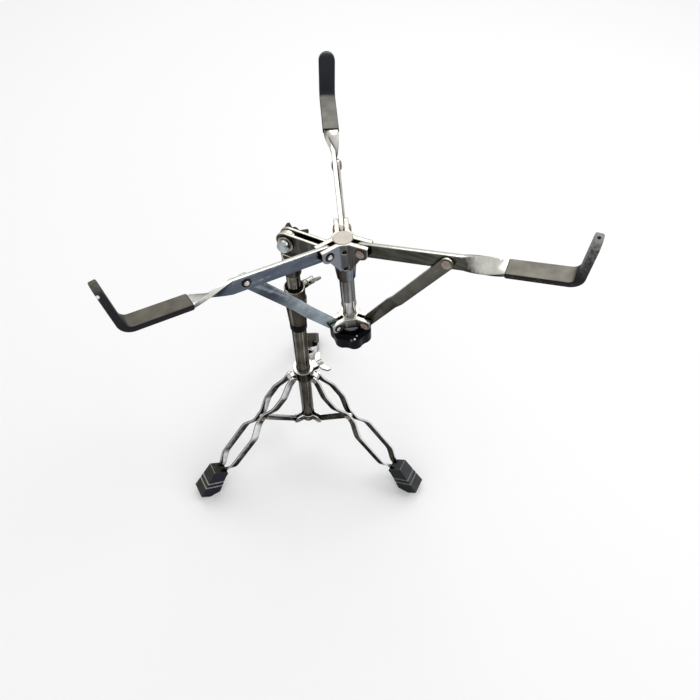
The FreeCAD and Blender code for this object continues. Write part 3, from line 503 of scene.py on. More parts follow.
@dataclass(frozen=True)
class FootRubber:
    """Moulded foot: black sides; a front face and a pale mouth that are lighter where they face
    upwards, partly dusting and partly painted sheen; lips on its grooves, partly wear and partly a
    painted highlight.
    """

    name: str
    heading: float
    side: Colour
    front: Colour
    mouth: Colour
    lip: Colour
    lip_share: float = 0.85
    slope: Pair = (0.5759, -0.8175)
    mouth_reach: Reach = (0.64, 0.74)
    front_reach: Reach = (0.26, 0.46)
    rub_reach: Reach = (0.53, 0.62)
    rub_share: float = 0.35
    patch_scale: float = 80.0
    patch_reach: Reach = (0.34, 0.68)
    patch_share: float = 0.25
    wander_scale: float = 240.0
    wander: float = 0.10
    scuff_scale: float = 300.0
    scuff_reach: Reach = (0.30, 0.58)
    grain_scale: float = 1600.0
    grain_depth: float = 0.08 * MM
    grain: float = 0.35
    grain_haze: float = 0.15
    roughness: float = 0.45
    specular: float = 0.06
    grooves: Tuple[float, ...] = (75.35 * MM, 85.98 * MM)
    groove_half: float = 1.25 * MM
    lip_width: float = 0.75 * MM

    def material(self) -> Material:
        """Build the foot's material.

        Returns:
            The material.
        """
        s = Shader(self.name)
        patches = s.noise(self.patch_scale, detail=5.0).ramp(*self.patch_reach)
        grain = s.noise(self.grain_scale, detail=2.0)
        # painted sheen, partly dusting: faces turned upwards take the front and mouth colours
        lift = s.facing() + (s.noise(self.wander_scale) - 0.5) * self.wander
        upward_dust_and_sheen = s.mix(lift.ramp(*self.mouth_reach), self.front, self.mouth)
        patchy = 1.0 - self.patch_share + patches * self.patch_share
        base = s.mix(lift.ramp(*self.front_reach) * patchy, self.side, upward_dust_and_sheen)
        turn = math.radians(self.heading)
        across, down = self.slope
        run = s.along((math.cos(turn) * across, math.sin(turn) * across, down))
        scuffed = s.noise(self.scuff_scale).ramp(*self.scuff_reach)
        # groove lips and proud edges: partly wear, partly a painted highlight
        lips = s.ridge(*self.rub_reach) * self.rub_share
        for groove in self.grooves:
            for edge in (groove - self.groove_half, groove + self.groove_half):
                lips = lips + run.near(edge, self.lip_width) * scuffed * self.lip_share
        base = s.mix(lips, base, self.lip)
        return s.surface(
            Base_Color=base,
            Roughness=self.roughness + grain * self.grain_haze,
            Normal=s.relief(grain, self.grain_depth, self.grain),
            Specular_IOR_Level=self.specular,
        )


@dataclass(frozen=True)
class TurnedSteel:
    """Plated fasteners with fine turning rings and brown handling marks."""

    name: str
    bright: Colour
    brown: Colour
    roughness: float = 0.20
    stain_scale: float = 160.0
    stain_reach: Reach = (0.42, 0.70)
    stain_haze: float = 0.08
    ring_scale: float = 2600.0
    ring_grain: Triple = (1.0, 1.0, 4.0)
    ring_haze: float = 0.10
    ring_depth: float = 0.05 * MM
    ring_strength: float = 0.12

    def material(self) -> Material:
        """Build the fasteners' material.

        Returns:
            The material.
        """
        s = Shader(self.name)
        stain = s.noise(self.stain_scale, detail=4.0).ramp(*self.stain_reach)
        rings = s.noise(self.ring_scale, detail=1.0, where=s.stretched(self.ring_grain))
        base = s.mix(stain, self.bright, self.brown)
        rough = self.roughness + rings * self.ring_haze + stain * self.stain_haze
        normal = s.relief(rings, self.ring_depth, self.ring_strength)
        return s.surface(Base_Color=base, Metallic=1.0, Roughness=rough, Normal=normal)


@dataclass(frozen=True)
class SatinPaint:
    """Thin satin lacquer with grime, on the hub's disc and the knob's washer."""

    name: str
    body: Colour
    grime: Colour
    roughness: float = 0.42
    cloud_scale: float = 110.0
    cloud_reach: Reach = (0.38, 0.72)
    cloud_share: float = 0.7
    speck_scale: float = 900.0
    speck_size: float = 0.25
    speck_share: float = 0.3
    fine_scale: float = 1400.0
    fine_haze: float = 0.12
    fine_depth: float = 0.05 * MM
    fine_strength: float = 0.10
    coat: float = 0.1

    def material(self) -> Material:
        """Build the lacquer's material.

        Returns:
            The material.
        """
        s = Shader(self.name)
        cloud = s.noise(self.cloud_scale, detail=5.0).ramp(*self.cloud_reach)
        fine = s.noise(self.fine_scale, detail=2.0)
        specks = s.specks(self.speck_scale, self.speck_size)
        base = s.mix(cloud * self.cloud_share + specks * self.speck_share, self.body, self.grime)
        return s.surface(
            Base_Color=base,
            Roughness=self.roughness + fine * self.fine_haze,
            Normal=s.relief(fine, self.fine_depth, self.fine_strength),
            Coat_Weight=self.coat,
        )


class Plate(Enum):
    """The tones of chrome plate on the stand, with painted shade on the flanks and a painted
    highlight on the tops.
    """

    TUBE = Plating(
        "tube_plate", (0.046, 0.040, 0.032), (0.104, 0.094, 0.077), (0.34, 0.33, 0.30),
        (0.70, 0.69, 0.64), streak_share=0.35, bands=((-0.58, 0.13), (0.52, 0.11)), rim=0.45,
    )
    STEM = Plating(
        "stem_plate", (0.052, 0.052, 0.052), (0.120, 0.120, 0.118), (0.36, 0.36, 0.36),
        (0.62, 0.61, 0.58), streak_share=0.35, bands=((-0.62, 0.14), (0.35, 0.16)), rim=0.45,
        tint=(0.17, 0.17, 0.165), tint_way=(0.86, -0.51, 0.0), tint_reach=(0.55, 0.85),
    )
    STRIP = Plating(
        "strip_plate", (0.034, 0.032, 0.027), (0.084, 0.080, 0.068), (0.32, 0.32, 0.31),
        (0.80, 0.81, 0.82), grain=(1.0, 1.0, 6.0), streak_share=0.28, lip=(0.40, 0.78), wander=0.35,
        sky=(0.50, -0.17, 0.85), rim=0.35,
    )
    # painted highlight along the leg strips' long rounded edges
    EDGE = Plating(
        "edge_highlight_plate", (0.30, 0.30, 0.29), (0.55, 0.55, 0.54), (0.76, 0.76, 0.75),
        (0.84, 0.84, 0.83), rim=0.8,
    )
    # The arms and braces are one plate in per-side copies: their bluish, olive and rear tones are
    # painted reflection.
    ARM_COOL = Plating(
        "arm_plate_left_reflection", (0.075, 0.090, 0.122), (0.108, 0.126, 0.158), (0.20, 0.24, 0.28),
        (0.84, 0.83, 0.77), roughness=0.18, grain=(30.0, 1.0, 1.0), heading=215.7,
        streak_share=0.30,
    )
    ARM_WARM = Plating(
        "arm_plate_right_reflection", (0.042, 0.042, 0.036), (0.082, 0.081, 0.070), (0.19, 0.19, 0.16),
        (0.73, 0.72, 0.66), roughness=0.18, grain=(30.0, 1.0, 1.0), heading=-24.3,
        streak_share=0.40,
    )
    ARM_REAR = Plating(
        "arm_plate_rear_reflection", (0.055, 0.053, 0.046), (0.105, 0.101, 0.088), (0.28, 0.27, 0.23),
        (0.74, 0.72, 0.66), roughness=0.16, grain=(30.0, 1.0, 1.0), heading=95.7,
    )
    BRACE_COOL = Plating(
        "brace_plate_left_reflection", (0.038, 0.047, 0.060), (0.084, 0.103, 0.125), (0.32, 0.39, 0.44),
        (0.70, 0.76, 0.80), cloud_scale=30.0, grain=(30.0, 1.0, 30.0), heading=215.7,
        streak_share=0.25, shine=(0.34, 0.39, 0.43), shine_at=(0.416, 0.040),
    )
    BRACE_WARM = Plating(
        "brace_plate_right_reflection", (0.056, 0.053, 0.045), (0.105, 0.100, 0.087), (0.22, 0.21, 0.185),
        (0.74, 0.72, 0.66), grain=(30.0, 1.0, 30.0), heading=-24.3, streak_share=0.30,
    )
    CLAMP = Plating(
        "clamp_plate", (0.036, 0.031, 0.025), (0.074, 0.065, 0.053), (0.28, 0.27, 0.24),
        (0.42, 0.40, 0.35), roughness=0.18, ripple=0.15, streak_share=0.25, lip=(0.40, 0.80),
        edge_share=0.3, bands=((-0.50, 0.16),),
    )
    TILTER = Plating(
        "tilter_plate", (0.040, 0.038, 0.033), (0.078, 0.074, 0.064), (0.20, 0.195, 0.18),
        (0.74, 0.70, 0.59), roughness=0.20, ripple=0.20, streak_share=0.40, lip=(0.30, 0.72),
        edge_share=0.5,
    )
    HUB = Plating(
        "hub_plate", (0.038, 0.037, 0.035), (0.074, 0.071, 0.066), (0.17, 0.17, 0.165),
        (0.78, 0.75, 0.65), roughness=0.20, ripple=0.20, streak_share=0.40, lip=(0.30, 0.72),
        edge_share=0.5, tint=(0.20, 0.22, 0.26),
    )
    # The spider's flank colours are lighter than the hub's: painted light on faces that lie in
    # shade and dark reflection.
    SPIDER = Plating(
        "spider_plate", (0.075, 0.072, 0.064), (0.140, 0.135, 0.122), (0.28, 0.27, 0.26),
        (0.82, 0.79, 0.70), roughness=0.20, ripple=0.20, streak_share=0.40, lip=(0.26, 0.66),
        edge_share=0.6, tint=(0.36, 0.37, 0.40),
    )
    COLLAR = Plating(
        "collar_plate", (0.034, 0.032, 0.028), (0.064, 0.061, 0.054), (0.28, 0.275, 0.26),
        (0.68, 0.67, 0.63), roughness=0.18, ripple=0.15, streak_share=0.20, lip=(0.30, 0.62),
        edge_share=0.7,
    )
    WING = Plating(
        "wing_plate", (0.075, 0.072, 0.064), (0.16, 0.155, 0.14), (0.40, 0.39, 0.36),
        (0.56, 0.55, 0.52), roughness=0.18, lip=(0.30, 0.85), edge_share=0.4,
    )
    SCREW = Plating(
        "screw_plate", (0.26, 0.26, 0.27), (0.42, 0.42, 0.42), (0.85, 0.85, 0.86),
        (0.80, 0.80, 0.80), roughness=0.08, streak_share=0.8,
    )


class Steel(Enum):
    """The tones of the fasteners."""

    BROWN = TurnedSteel("rivet_brown", (0.30, 0.24, 0.205), (0.17, 0.13, 0.105))
    BRIGHT = TurnedSteel("rivet_bright", (0.62, 0.59, 0.56), (0.36, 0.29, 0.24), 0.14)
    DARK = TurnedSteel("rivet_dark", (0.026, 0.025, 0.024), (0.014, 0.013, 0.012), 0.36)
    BOLT = TurnedSteel("bolt_steel", (0.44, 0.47, 0.47), (0.28, 0.30, 0.30), 0.16)
    WASHER = TurnedSteel("washer_steel", (0.34, 0.33, 0.28), (0.18, 0.175, 0.15), 0.22)


class Mould(Enum):
    """The tones of rubber, vinyl and plastic."""

    # The three feet are one rubber in per-side copies whose tones paint the different light and
    # shade on each side.
    FOOT_LEFT = FootRubber(
        "foot_rubber_left", 212.3, (0.008, 0.009, 0.020), (0.036, 0.033, 0.025), (0.30, 0.30, 0.29),
        (0.42, 0.41, 0.38),
    )
    FOOT_RIGHT = FootRubber(
        "foot_rubber_right", 332.3, (0.009, 0.010, 0.010), (0.052, 0.058, 0.062),
        (0.20, 0.21, 0.21), (0.26, 0.27, 0.27), 0.45,
    )
    FOOT_REAR = FootRubber(
        "foot_rubber_rear", 92.3, (0.034, 0.032, 0.028), (0.085, 0.080, 0.070), (0.27, 0.26, 0.23),
        (0.30, 0.29, 0.26), 0.4,
    )
    SLEEVE_LEFT = Moulding(
        "sleeve_vinyl_left", (0.009, 0.010, 0.013), (0.160, 0.146, 0.118), (0.060, 0.059, 0.050),
        0.50, 1.0, (0.50, 0.85), 900.0, specular=0.12, worn_attribute="wear",
        marks=(Mark((-0.11905, -0.15150, 0.55790), 1.5 * MM, (0.86, 0.86, 0.86)),),
    )
    SLEEVE_RIGHT = Moulding(
        "sleeve_vinyl_right", (0.007, 0.007, 0.007), (0.335, 0.312, 0.265), (0.27, 0.27, 0.265),
        0.50, 1.0, (0.50, 0.85), 900.0, specular=0.12, worn_attribute="wear",
        marks=(Mark((0.2390, -0.1137, 0.5896), 1.4 * MM, (0.008, 0.008, 0.008)),),
    )
    SLEEVE_REAR = Moulding(
        "sleeve_vinyl_rear", (0.019, 0.021, 0.028), (0.310, 0.295, 0.260), (0.045, 0.047, 0.055),
        0.46, 1.0, (0.70, 0.99), 900.0, specular=0.15, worn_attribute="wear",
    )
    # The knob's marks are painted highlights: a painted reflection on the front lobe's top edge
    # with a painted grey facet beside it; its edge_share paints highlights on the lobes' edges.
    KNOB = Moulding(
        "knob_plastic", (0.002, 0.002, 0.0035), (0.004, 0.004, 0.006), (0.50, 0.50, 0.51), 0.12,
        0.1, grain=0.03, specular=0.04, scratch_share=0.02, edge_share=0.10, edge_lip=(0.512, 0.56),
        marks=(
            Mark((0.0664, -0.0524, 0.3674), 1.5 * MM, (0.12, 0.12, 0.13)),
            Mark((0.0701, -0.0517, 0.3690), 1.2 * MM, (0.70, 0.70, 0.71)),
            Mark((0.0725, -0.0483, 0.3711), 0.9 * MM, (0.62, 0.62, 0.64)),
        ),
    )
    NYLON = Moulding(
        "black_nylon", (0.004, 0.004, 0.004), (0.012, 0.012, 0.012), (0.06, 0.06, 0.06), 0.48, 0.3,
        specular=0.02, scratch_share=0.15,
    )
    WING = Moulding(
        "black_wing", (0.005, 0.005, 0.006), (0.020, 0.020, 0.020), (0.10, 0.095, 0.09), 0.30, 0.25,
        specular=0.2, edge_share=0.2,
    )


class Satin(Enum):
    """The tones of satin lacquer."""

    DISC = SatinPaint("disc_paint", (0.66, 0.60, 0.52), (0.54, 0.48, 0.40))
    FLANGE = SatinPaint("flange_paint", (0.20, 0.20, 0.198), (0.13, 0.13, 0.125))


Surface = Union[Plating, Moulding, FootRubber, TurnedSteel, SatinPaint]
Finish = Union[Plate, Steel, Mould, Satin]


class FinishShelf:
    """Makes each finish's material once."""

    def __init__(self) -> None:
        """Start with no materials made."""
        self._made: Dict[str, Material] = {}

    def material(self, finish: Finish) -> Material:
        """The material of a finish.

        Args:
            finish: which finish.

        Returns:
            Its material, shared by all the pieces that have it.
        """
        surface: Surface = finish.value
        if surface.name not in self._made:
            self._made[surface.name] = surface.material()
        return self._made[surface.name]


# Modelling moves


class Bench:
    """Modelling by Blender's own operators, one piece at a time."""

    MERGE = 0.004 * MM
    FLAT_ANGLE = math.radians(0.6)
    SHARP_ANGLE = math.radians(32.0)
    UPWARD = 0.9
    RELAX = 0.5

    @staticmethod
    def only(piece: Piece) -> None:
        """Select one object and make it active.

        Args:
            piece: the object.
        """
        bpy.ops.object.select_all(action="DESELECT")
        piece.select_set(True)
        bpy.context.view_layer.objects.active = piece

    def copy_of(self, node: Piece, name: str) -> Piece:
        """Copy a CAD node's mesh, merged and freed of flat triangulation, ready to be shaped.

        Args:
            node: the CAD node's object.
            name: the new piece's name.

        Returns:
            The new piece.
        """
        piece = bpy.data.objects.new(name, node.data.copy())
        bpy.context.scene.collection.objects.link(piece)
        piece.data.materials.clear()
        self.only(piece)
        if piece.data.has_custom_normals:
            bpy.ops.mesh.customdata_custom_splitnormals_clear()
        bpy.ops.object.mode_set(mode="EDIT")
        bpy.ops.mesh.select_all(action="SELECT")
        bpy.ops.mesh.remove_doubles(threshold=self.MERGE)
        bpy.ops.mesh.dissolve_limited(angle_limit=self.FLAT_ANGLE)
        bpy.ops.object.mode_set(mode="OBJECT")
        return piece

    def modify(self, piece: Piece, kind: str, **settings: Any) -> None:
        """Add a modifier and apply it.

        Args:
            piece: what to modify.
            kind: the modifier's type.
            settings: its properties.
        """
        self.only(piece)
        modifier = piece.modifiers.new(kind.title(), kind)
        for key, setting in settings.items():
            setattr(modifier, key, setting)
        bpy.ops.object.modifier_apply(modifier=modifier.name)

    def round_edges(self, piece: Piece, width: float, segments: int) -> None:
        """Round every edge that is sharp enough.

        Args:
            piece: what to round.
            width: the rounding's width, in metres.
            segments: faces across it.
        """
        self.modify(
            piece,
            "BEVEL",
            width=width,
            segments=segments,
            limit_method="ANGLE",
            angle_limit=self.SHARP_ANGLE,
            use_clamp_overlap=False,
            miter_outer="MITER_ARC",
        )

    def smooth(self, piece: Piece, angle: float = 38.0) -> None:
        """Shade a piece smooth across all but its sharp edges."""
        self.only(piece)
        bpy.ops.object.shade_smooth_by_angle(angle=math.radians(angle))

    def cylinder(self, name: str, sides: int, radius: float, height: float) -> Piece:
        """Add a cylinder that stands on the origin.

        Args:
            name: the piece's name.
            sides: how many sides.
            radius: in metres.
            height: in metres.

        Returns:
            The new piece, with its place in its mesh.
        """
        bpy.ops.object.select_all(action="DESELECT")
        bpy.ops.mesh.primitive_cylinder_add(
            vertices=sides, radius=radius, depth=height, location=(0.0, 0.0, height / 2)
        )
        piece = bpy.context.active_object
        piece.name = name
        bpy.ops.object.transform_apply(location=True, rotation=True, scale=True)
        return piece

    def turned(self, name: str, sides: int, radius: float, steps: Sequence[Step]) -> Piece:
        """Shape a turned piece on the origin by extruding and resizing a cylinder's top.

        Args:
            name: the piece's name.
            sides: how many sides.
            radius: the first radius, in metres.
            steps: for each move of the top, how far it rises and what its radius becomes.

        Returns:
            The new piece.
        """
        piece = self.cylinder(name, sides, radius, steps[0][0])
        bpy.ops.object.mode_set(mode="EDIT")
        bpy.ops.mesh.select_mode(type="FACE")
        bpy.ops.mesh.select_all(action="DESELECT")
        bpy.ops.object.mode_set(mode="OBJECT")
        for face in piece.data.polygons:
            face.select = face.normal.z > self.UPWARD
        bpy.ops.object.mode_set(mode="EDIT")
        for rise, reach in steps[1:]:
            bpy.ops.mesh.extrude_region_move(TRANSFORM_OT_translate={"value": (0.0, 0.0, rise)})
            ratio = reach / radius
            bpy.ops.transform.resize(value=(ratio, ratio, 1.0))
            radius = reach
        bpy.ops.object.mode_set(mode="OBJECT")
        return piece

    def cast(self, piece: Piece, voxel: float, rounds: int) -> None:
        """Melt a copied solid into one skin with cast, rounded edges and fillets.

        Args:
            piece: what to melt.
            voxel: the skin's grain, in metres.
            rounds: how often the skin is relaxed.
        """
        self.modify(piece, "REMESH", mode="VOXEL", voxel_size=voxel)
        self.modify(piece, "SMOOTH", factor=self.RELAX, iterations=rounds)
        self.only(piece)
        bpy.ops.object.shade_smooth()

    @staticmethod
    def move_mesh(piece: Piece, where: Matrix) -> None:
        """Put a piece modelled at the origin in its place, in its mesh."""
        piece.data.transform(where)
        piece.data.update()


# Sub-assemblies


@dataclass
class Assembly:
    """What all sub-assemblies share: the frame, the bench and the shelf of finishes."""

    frame: Frame
    bench: Bench
    shelf: FinishShelf
    pieces: List[str] = field(default_factory=list)

    def body_of(self, node: str) -> str:
        """The body that a CAD node belongs to."""
        bodies = self.frame["record"]["behaviour"]["bodies"]
        return next(body for body, members in bodies.items() if node in members)

    def joint(self, name: str) -> Dict[str, Any]:
        """A joint of the record, by name."""
        return next(joint for joint in self.frame["joints"] if joint["name"] == name)

    def dress(self, node: str, finish: Finish) -> None:
        """Give a CAD node that keeps its shape a finish.

        Args:
            node: the CAD node.
            finish: its finish.
        """
        shown = self.frame["nodes"][node]
        shown.data.materials.clear()
        shown.data.materials.append(self.shelf.material(finish))
        self.pieces.append(node)

    def stand_in(self, piece: Piece, node: str, finish: Finish) -> Piece:
        """Let a finished piece stand for a CAD node.

        Args:
            piece: the new piece, in place.
            node: the CAD node that it replaces.
            finish: its finish.

        Returns:
            The piece.
        """
        piece.data.materials.clear()
        piece.data.materials.append(self.shelf.material(finish))
        self.claim(piece, node)
        return piece

    def claim(self, piece: Piece, node: str) -> None:
        """Let a dressed piece take a CAD node's place and body.

        Args:
            piece: the dressed piece, in place.
            node: the CAD node that it replaces.
        """
        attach(piece, self.body_of(node))
        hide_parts(node)
        self.pieces.append(piece.name)

    def soften(self, node: str, finish: Finish, width: float, segments: int = 2) -> Piece:
        """Replace a CAD node by a copy with rounded edges and smooth bends.

        Args:
            node: the CAD node.
            finish: its finish.
            width: how wide the rounded edges are, in metres.
            segments: faces across an edge.

        Returns:
            The new piece.
        """
        piece = self.bench.copy_of(self.frame["nodes"][node], f"{node}_dressed")
        self.bench.round_edges(piece, width, segments)
        self.bench.smooth(piece)
        return self.stand_in(piece, node, finish)

    def melt(self, node: str, finish: Finish, voxel: float, rounds: int) -> Piece:
        """Replace a CAD node by a copy with the rounded skin of a casting or a moulding.

        Args:
            node: the CAD node.
            finish: its finish.
            voxel: the skin's grain, in metres.
            rounds: how often the skin is relaxed.

        Returns:
            The new piece.
        """
        piece = self.bench.copy_of(self.frame["nodes"][node], f"{node}_dressed")
        self.bench.cast(piece, voxel, rounds)
        return self.stand_in(piece, node, finish)

    def add_on(self, piece: Piece, body: str, slot: str) -> None:
        """Add a small piece that has no CAD node of its own.

        Args:
            piece: the new piece, dressed and in place.
            body: the body that it moves with.
            slot: the record's material slot; not used.
        """
        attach(piece, body)
        self.pieces.append(piece.name)


@dataclass
class Tripod(Assembly):
    """Legs, spreaders, feet and the two collars."""

    strip_edge: float = 0.8 * MM
    edge_lean: Pair = (0.25, 0.97)
    foot_grain: float = 0.55 * MM
    cast_grain: float = 0.55 * MM
    plate_grain: float = 0.45 * MM
    wing_grain: float = 0.40 * MM
    rivet_edge: float = 0.35 * MM
    foot_rounds: int = 3
    plate_rounds: int = 5
    collar_rounds: int = 4
    wing_rounds: int = 5

    def build(self) -> None:
        """Dress the tripod's pieces."""
        for side in Side:
            for strip in ("one", "two"):
                piece = self.soften(f"{side.value}_leg_strip_{strip}", Plate.STRIP, self.strip_edge)
                self.polish_edges(piece, self.joint(f"{side.value}_leg_fold"))
            self.soften(f"{side.value}_spreader", Plate.STRIP, self.strip_edge)
            rubber = Mould[f"FOOT_{side.name}"]
            self.melt(f"{side.value}_foot", rubber, self.foot_grain, self.foot_rounds)
            self.soften(f"{side.value}_leg_rivets", Steel.BROWN, self.rivet_edge)
        self.melt("lower_collar_plates", Plate.STRIP, self.plate_grain, self.plate_rounds)
        self.dress("lower_collar_pins", Steel.BROWN)
        self.soften("spreader_rivets", Steel.BROWN, self.rivet_edge)
        self.melt("upper_collar", Plate.COLLAR, self.cast_grain, self.collar_rounds)
        self.melt("collar_wing_screw", Plate.WING, self.wing_grain, self.wing_rounds)

    def polish_edges(self, strip: Piece, hinge: Dict[str, Any]) -> None:
        """Paint highlights on a leg strip's long rounded edges: they take a brighter plate than its
        faces.

        Args:
            strip: the strip's piece.
            hinge: the joint that the leg turns on, whose axis stands square to the strip.
        """
        strip.data.materials.append(self.shelf.material(Plate.EDGE))
        places = sorted((vertex.co for vertex in strip.data.vertices), key=lambda place: place.z)
        broad = (places[0] - places[-1]).cross(Vector(hinge["axis"])).normalized()
        low, high = self.edge_lean
        for face in strip.data.polygons:
            face.material_index = int(low < abs(face.normal.dot(broad)) < high)


@dataclass
class Column(Assembly):
    """Base tube, height clamp and upper tube."""

    tube_edge: float = 0.3 * MM
    cast_grain: float = 0.6 * MM
    wing_grain: float = 0.4 * MM
    ring_edge: float = 0.5 * MM
    ring_segments: int = 3
    cast_rounds: int = 5

    def build(self) -> None:
        """Dress the column's pieces."""
        self.soften("base_tube", Plate.TUBE, self.tube_edge)
        self.soften("upper_tube", Plate.TUBE, self.tube_edge)
        self.dress("guide_bush", Mould.NYLON)
        self.melt("clamp_body", Plate.CLAMP, self.cast_grain, self.cast_rounds)
        self.soften("clamp_bush", Mould.NYLON, self.tube_edge)
        self.soften("trim_ring", Mould.NYLON, self.ring_edge, self.ring_segments)
        self.melt("clamp_wing", Plate.WING, self.wing_grain, self.cast_rounds)


@dataclass
class Tilter(Assembly):
    """The tilter's block, bolt, washer and wing nut."""

    cast_grain: float = 0.55 * MM
    wing_grain: float = 0.4 * MM
    cast_rounds: int = 5
    bolt_edge: float = 0.9 * MM
    bolt_segments: int = 3
    washer_edge: float = 0.4 * MM

    def build(self) -> None:
        """Dress the tilter's pieces."""
        self.melt("tilter_block", Plate.TILTER, self.cast_grain, self.cast_rounds)
        self.soften("tilter_bolt", Steel.BOLT, self.bolt_edge, self.bolt_segments)
        self.soften("tilter_washer", Steel.WASHER, self.washer_edge)
        self.melt("tilter_wing_nut", Mould.WING, self.wing_grain, self.cast_rounds)


@dataclass
class Basket(Assembly):
    """Hub, stem, spider, knob, arms, sleeves and braces."""

    hub_grain: float = 0.6 * MM
    spider_grain: float = 0.5 * MM
    knob_grain: float = 0.6 * MM
    strip_edge: float = 0.5 * MM
    sleeve_edge: float = 1.1 * MM
    rivet_grain: float = 0.35 * MM
    hub_rounds: int = 3
    spider_rounds: int = 2
    knob_rounds: int = 5
    rivet_rounds: int = 9
    cap_edge: float = 0.4 * MM
    cap_segments: int = 3
    screw_edge: float = 0.2 * MM
    flange_edge: float = 0.6 * MM
    sleeve_segments: int = 3
    eye_crease: float = 35.0
    worn_ends: Dict[Side, float] = field(
        default_factory=lambda: {Side.LEFT: 10.0 * MM, Side.RIGHT: 20.0 * MM, Side.REAR: 6.0 * MM}
    )
    eye_radius: float = 4.9 * MM
    eye_sides: int = 36
    eye_steps: Tuple[Step, ...] = (
        (0.45 * MM, 4.9 * MM),
        (0.35 * MM, 4.6 * MM),
        (0.15 * MM, 4.1 * MM),
        (0.0, 3.1 * MM),
        (-0.05 * MM, 2.75 * MM),
        (0.15 * MM, 2.65 * MM),
        (0.40 * MM, 2.3 * MM),
        (0.25 * MM, 1.6 * MM),
        (0.10 * MM, 0.8 * MM),
    )
    dome_reach: float = 2.72 * MM
    hub_half_width: float = 7.4 * MM
    spider_half_width: float = 7.0 * MM
    roll_height: float = 0.8 * MM
    arm_eye_scale: float = 0.95

    def build(self) -> None:
        """Dress the basket's pieces."""
        self.melt("hub", Plate.HUB, self.hub_grain, self.hub_rounds)
        self.soften("hub_cap", Satin.DISC, self.cap_edge, self.cap_segments)
        self.melt("hub_rivets", Steel.BROWN, self.rivet_grain, self.rivet_rounds)
        self.soften("stem_set_screws", Steel.DARK, self.screw_edge)
        self.dress("stem_tube", Plate.STEM)
        self.dress("adjuster_screw", Plate.SCREW)
        self.melt("spider", Plate.SPIDER, self.spider_grain, self.spider_rounds)
        self.melt("spider_rivets", Steel.BROWN, self.rivet_grain, self.rivet_rounds)
        self.soften("knob_washer", Satin.FLANGE, self.flange_edge)
        self.dress("knob_insert", Plate.SCREW)
        self.melt("knob_grip", Mould.KNOB, self.knob_grain, self.knob_rounds)
        # per-side plates, whose tones are painted reflection
        plates = {
            Side.LEFT: (Plate.ARM_COOL, Plate.BRACE_COOL),
            Side.RIGHT: (Plate.ARM_WARM, Plate.BRACE_WARM),
            Side.REAR: (Plate.ARM_REAR, Plate.ARM_REAR),
        }
        for side, (arm, brace) in plates.items():
            self.soften(f"{side.value}_arm", arm, self.strip_edge)
            self.sleeve(side)
            self.soften(f"{side.value}_brace", brace, self.strip_edge)
            self.melt(f"{side.value}_brace_rivet", Steel.BROWN, self.rivet_grain, self.rivet_rounds)
        self.rivet_eyes()

    def sleeve(self, side: Side) -> None:
        """Make a dipped vinyl sleeve, worn where a drum's hoop rubs its upturned end.

        Args:
            side: which arm it is on.
        """
        vinyl = Mould[f"SLEEVE_{side.name}"]
        piece = self.soften(f"{side.value}_sleeve", vinyl, self.sleeve_edge, self.sleeve_segments)
        top = max(vertex.co.z for vertex in piece.data.vertices)
        wear = piece.data.attributes.new("wear", "FLOAT", "POINT")
        for vertex, mark in zip(piece.data.vertices, wear.data):
            mark.value = max(0.0, min(1.0, 1.0 - (top - vertex.co.z) / self.worn_ends[side]))

    def rivet_eyes(self) -> None:
        """Set a near-black ring, which paints the shade and dark reflection round the rivet, with a
        bright rolled rivet end at each lug and brace pivot.
        """
        eye = self.bench.turned("rivet_eye", self.eye_sides, self.eye_radius, self.eye_steps)
        self.bench.smooth(eye, self.eye_crease)
        eye.data.materials.append(self.shelf.material(Steel.DARK))
        eye.data.materials.append(self.shelf.material(Steel.BRIGHT))
        # the dark ring is painted shade and dark reflection round the bright rolled end
        for face in eye.data.polygons:
            domed = face.center.xy.length < self.dome_reach and face.center.z > 0.0
            face.material_index = int(domed)
        for side in Side:
            arm, brace = (self.joint(f"{side.value}_{lift}_lift") for lift in ("arm", "brace"))
            outward = -Vector(arm["axis"])
            for place, hinge, half_width, body in (
                ("hub", arm, self.hub_half_width, "basket"),
                ("spider", brace, self.spider_half_width, "spider"),
            ):
                seat = Vector(hinge["pos_m"]) + outward * half_width
                copy = self.eye_at(eye, f"{place}_{side.value}_rivet_eye", seat, outward, 1.0)
                self.add_on(copy, body, "fastener")
            self.arm_eye(eye, side, outward)
        bpy.data.objects.remove(eye)

    def eye_at(self, eye: Piece, name: str, seat: Vector, outward: Vector, scale: float) -> Piece:
        """Copy the rivet eye to a place.

        Args:
            eye: the eye modelled at the origin.
            name: the copy's name.
            seat: the middle of its foot.
            outward: the direction that it faces.
            scale: its size against the first eye's.

        Returns:
            The copy, with a mesh of its own.
        """
        copy = bpy.data.objects.new(name, eye.data.copy())
        bpy.context.scene.collection.objects.link(copy)
        turn = outward.to_track_quat("Z", "Y").to_matrix().to_4x4()
        self.bench.move_mesh(copy, Matrix.Translation(seat) @ turn @ Matrix.Scale(scale, 4))
        return copy

    def arm_eye(self, eye: Piece, side: Side, outward: Vector) -> None:
        """Let an eye stand for the rolled end of the rivet between an arm and its brace.

        Args:
            eye: the eye modelled at the origin.
            side: which arm.
            outward: the direction that the rolled end faces.
        """
        node = f"{side.value}_arm_rivet"
        points = [vertex.co for vertex in self.frame["nodes"][node].data.vertices]
        low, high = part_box(node)
        middle = (Vector(low) + Vector(high)) / 2
        top = max(point.dot(outward) for point in points)
        seat = middle + outward * (top - self.roll_height - middle.dot(outward))
        copy = self.eye_at(eye, f"{node}_dressed", seat, outward, self.arm_eye_scale)
        self.claim(copy, node)


# Stage


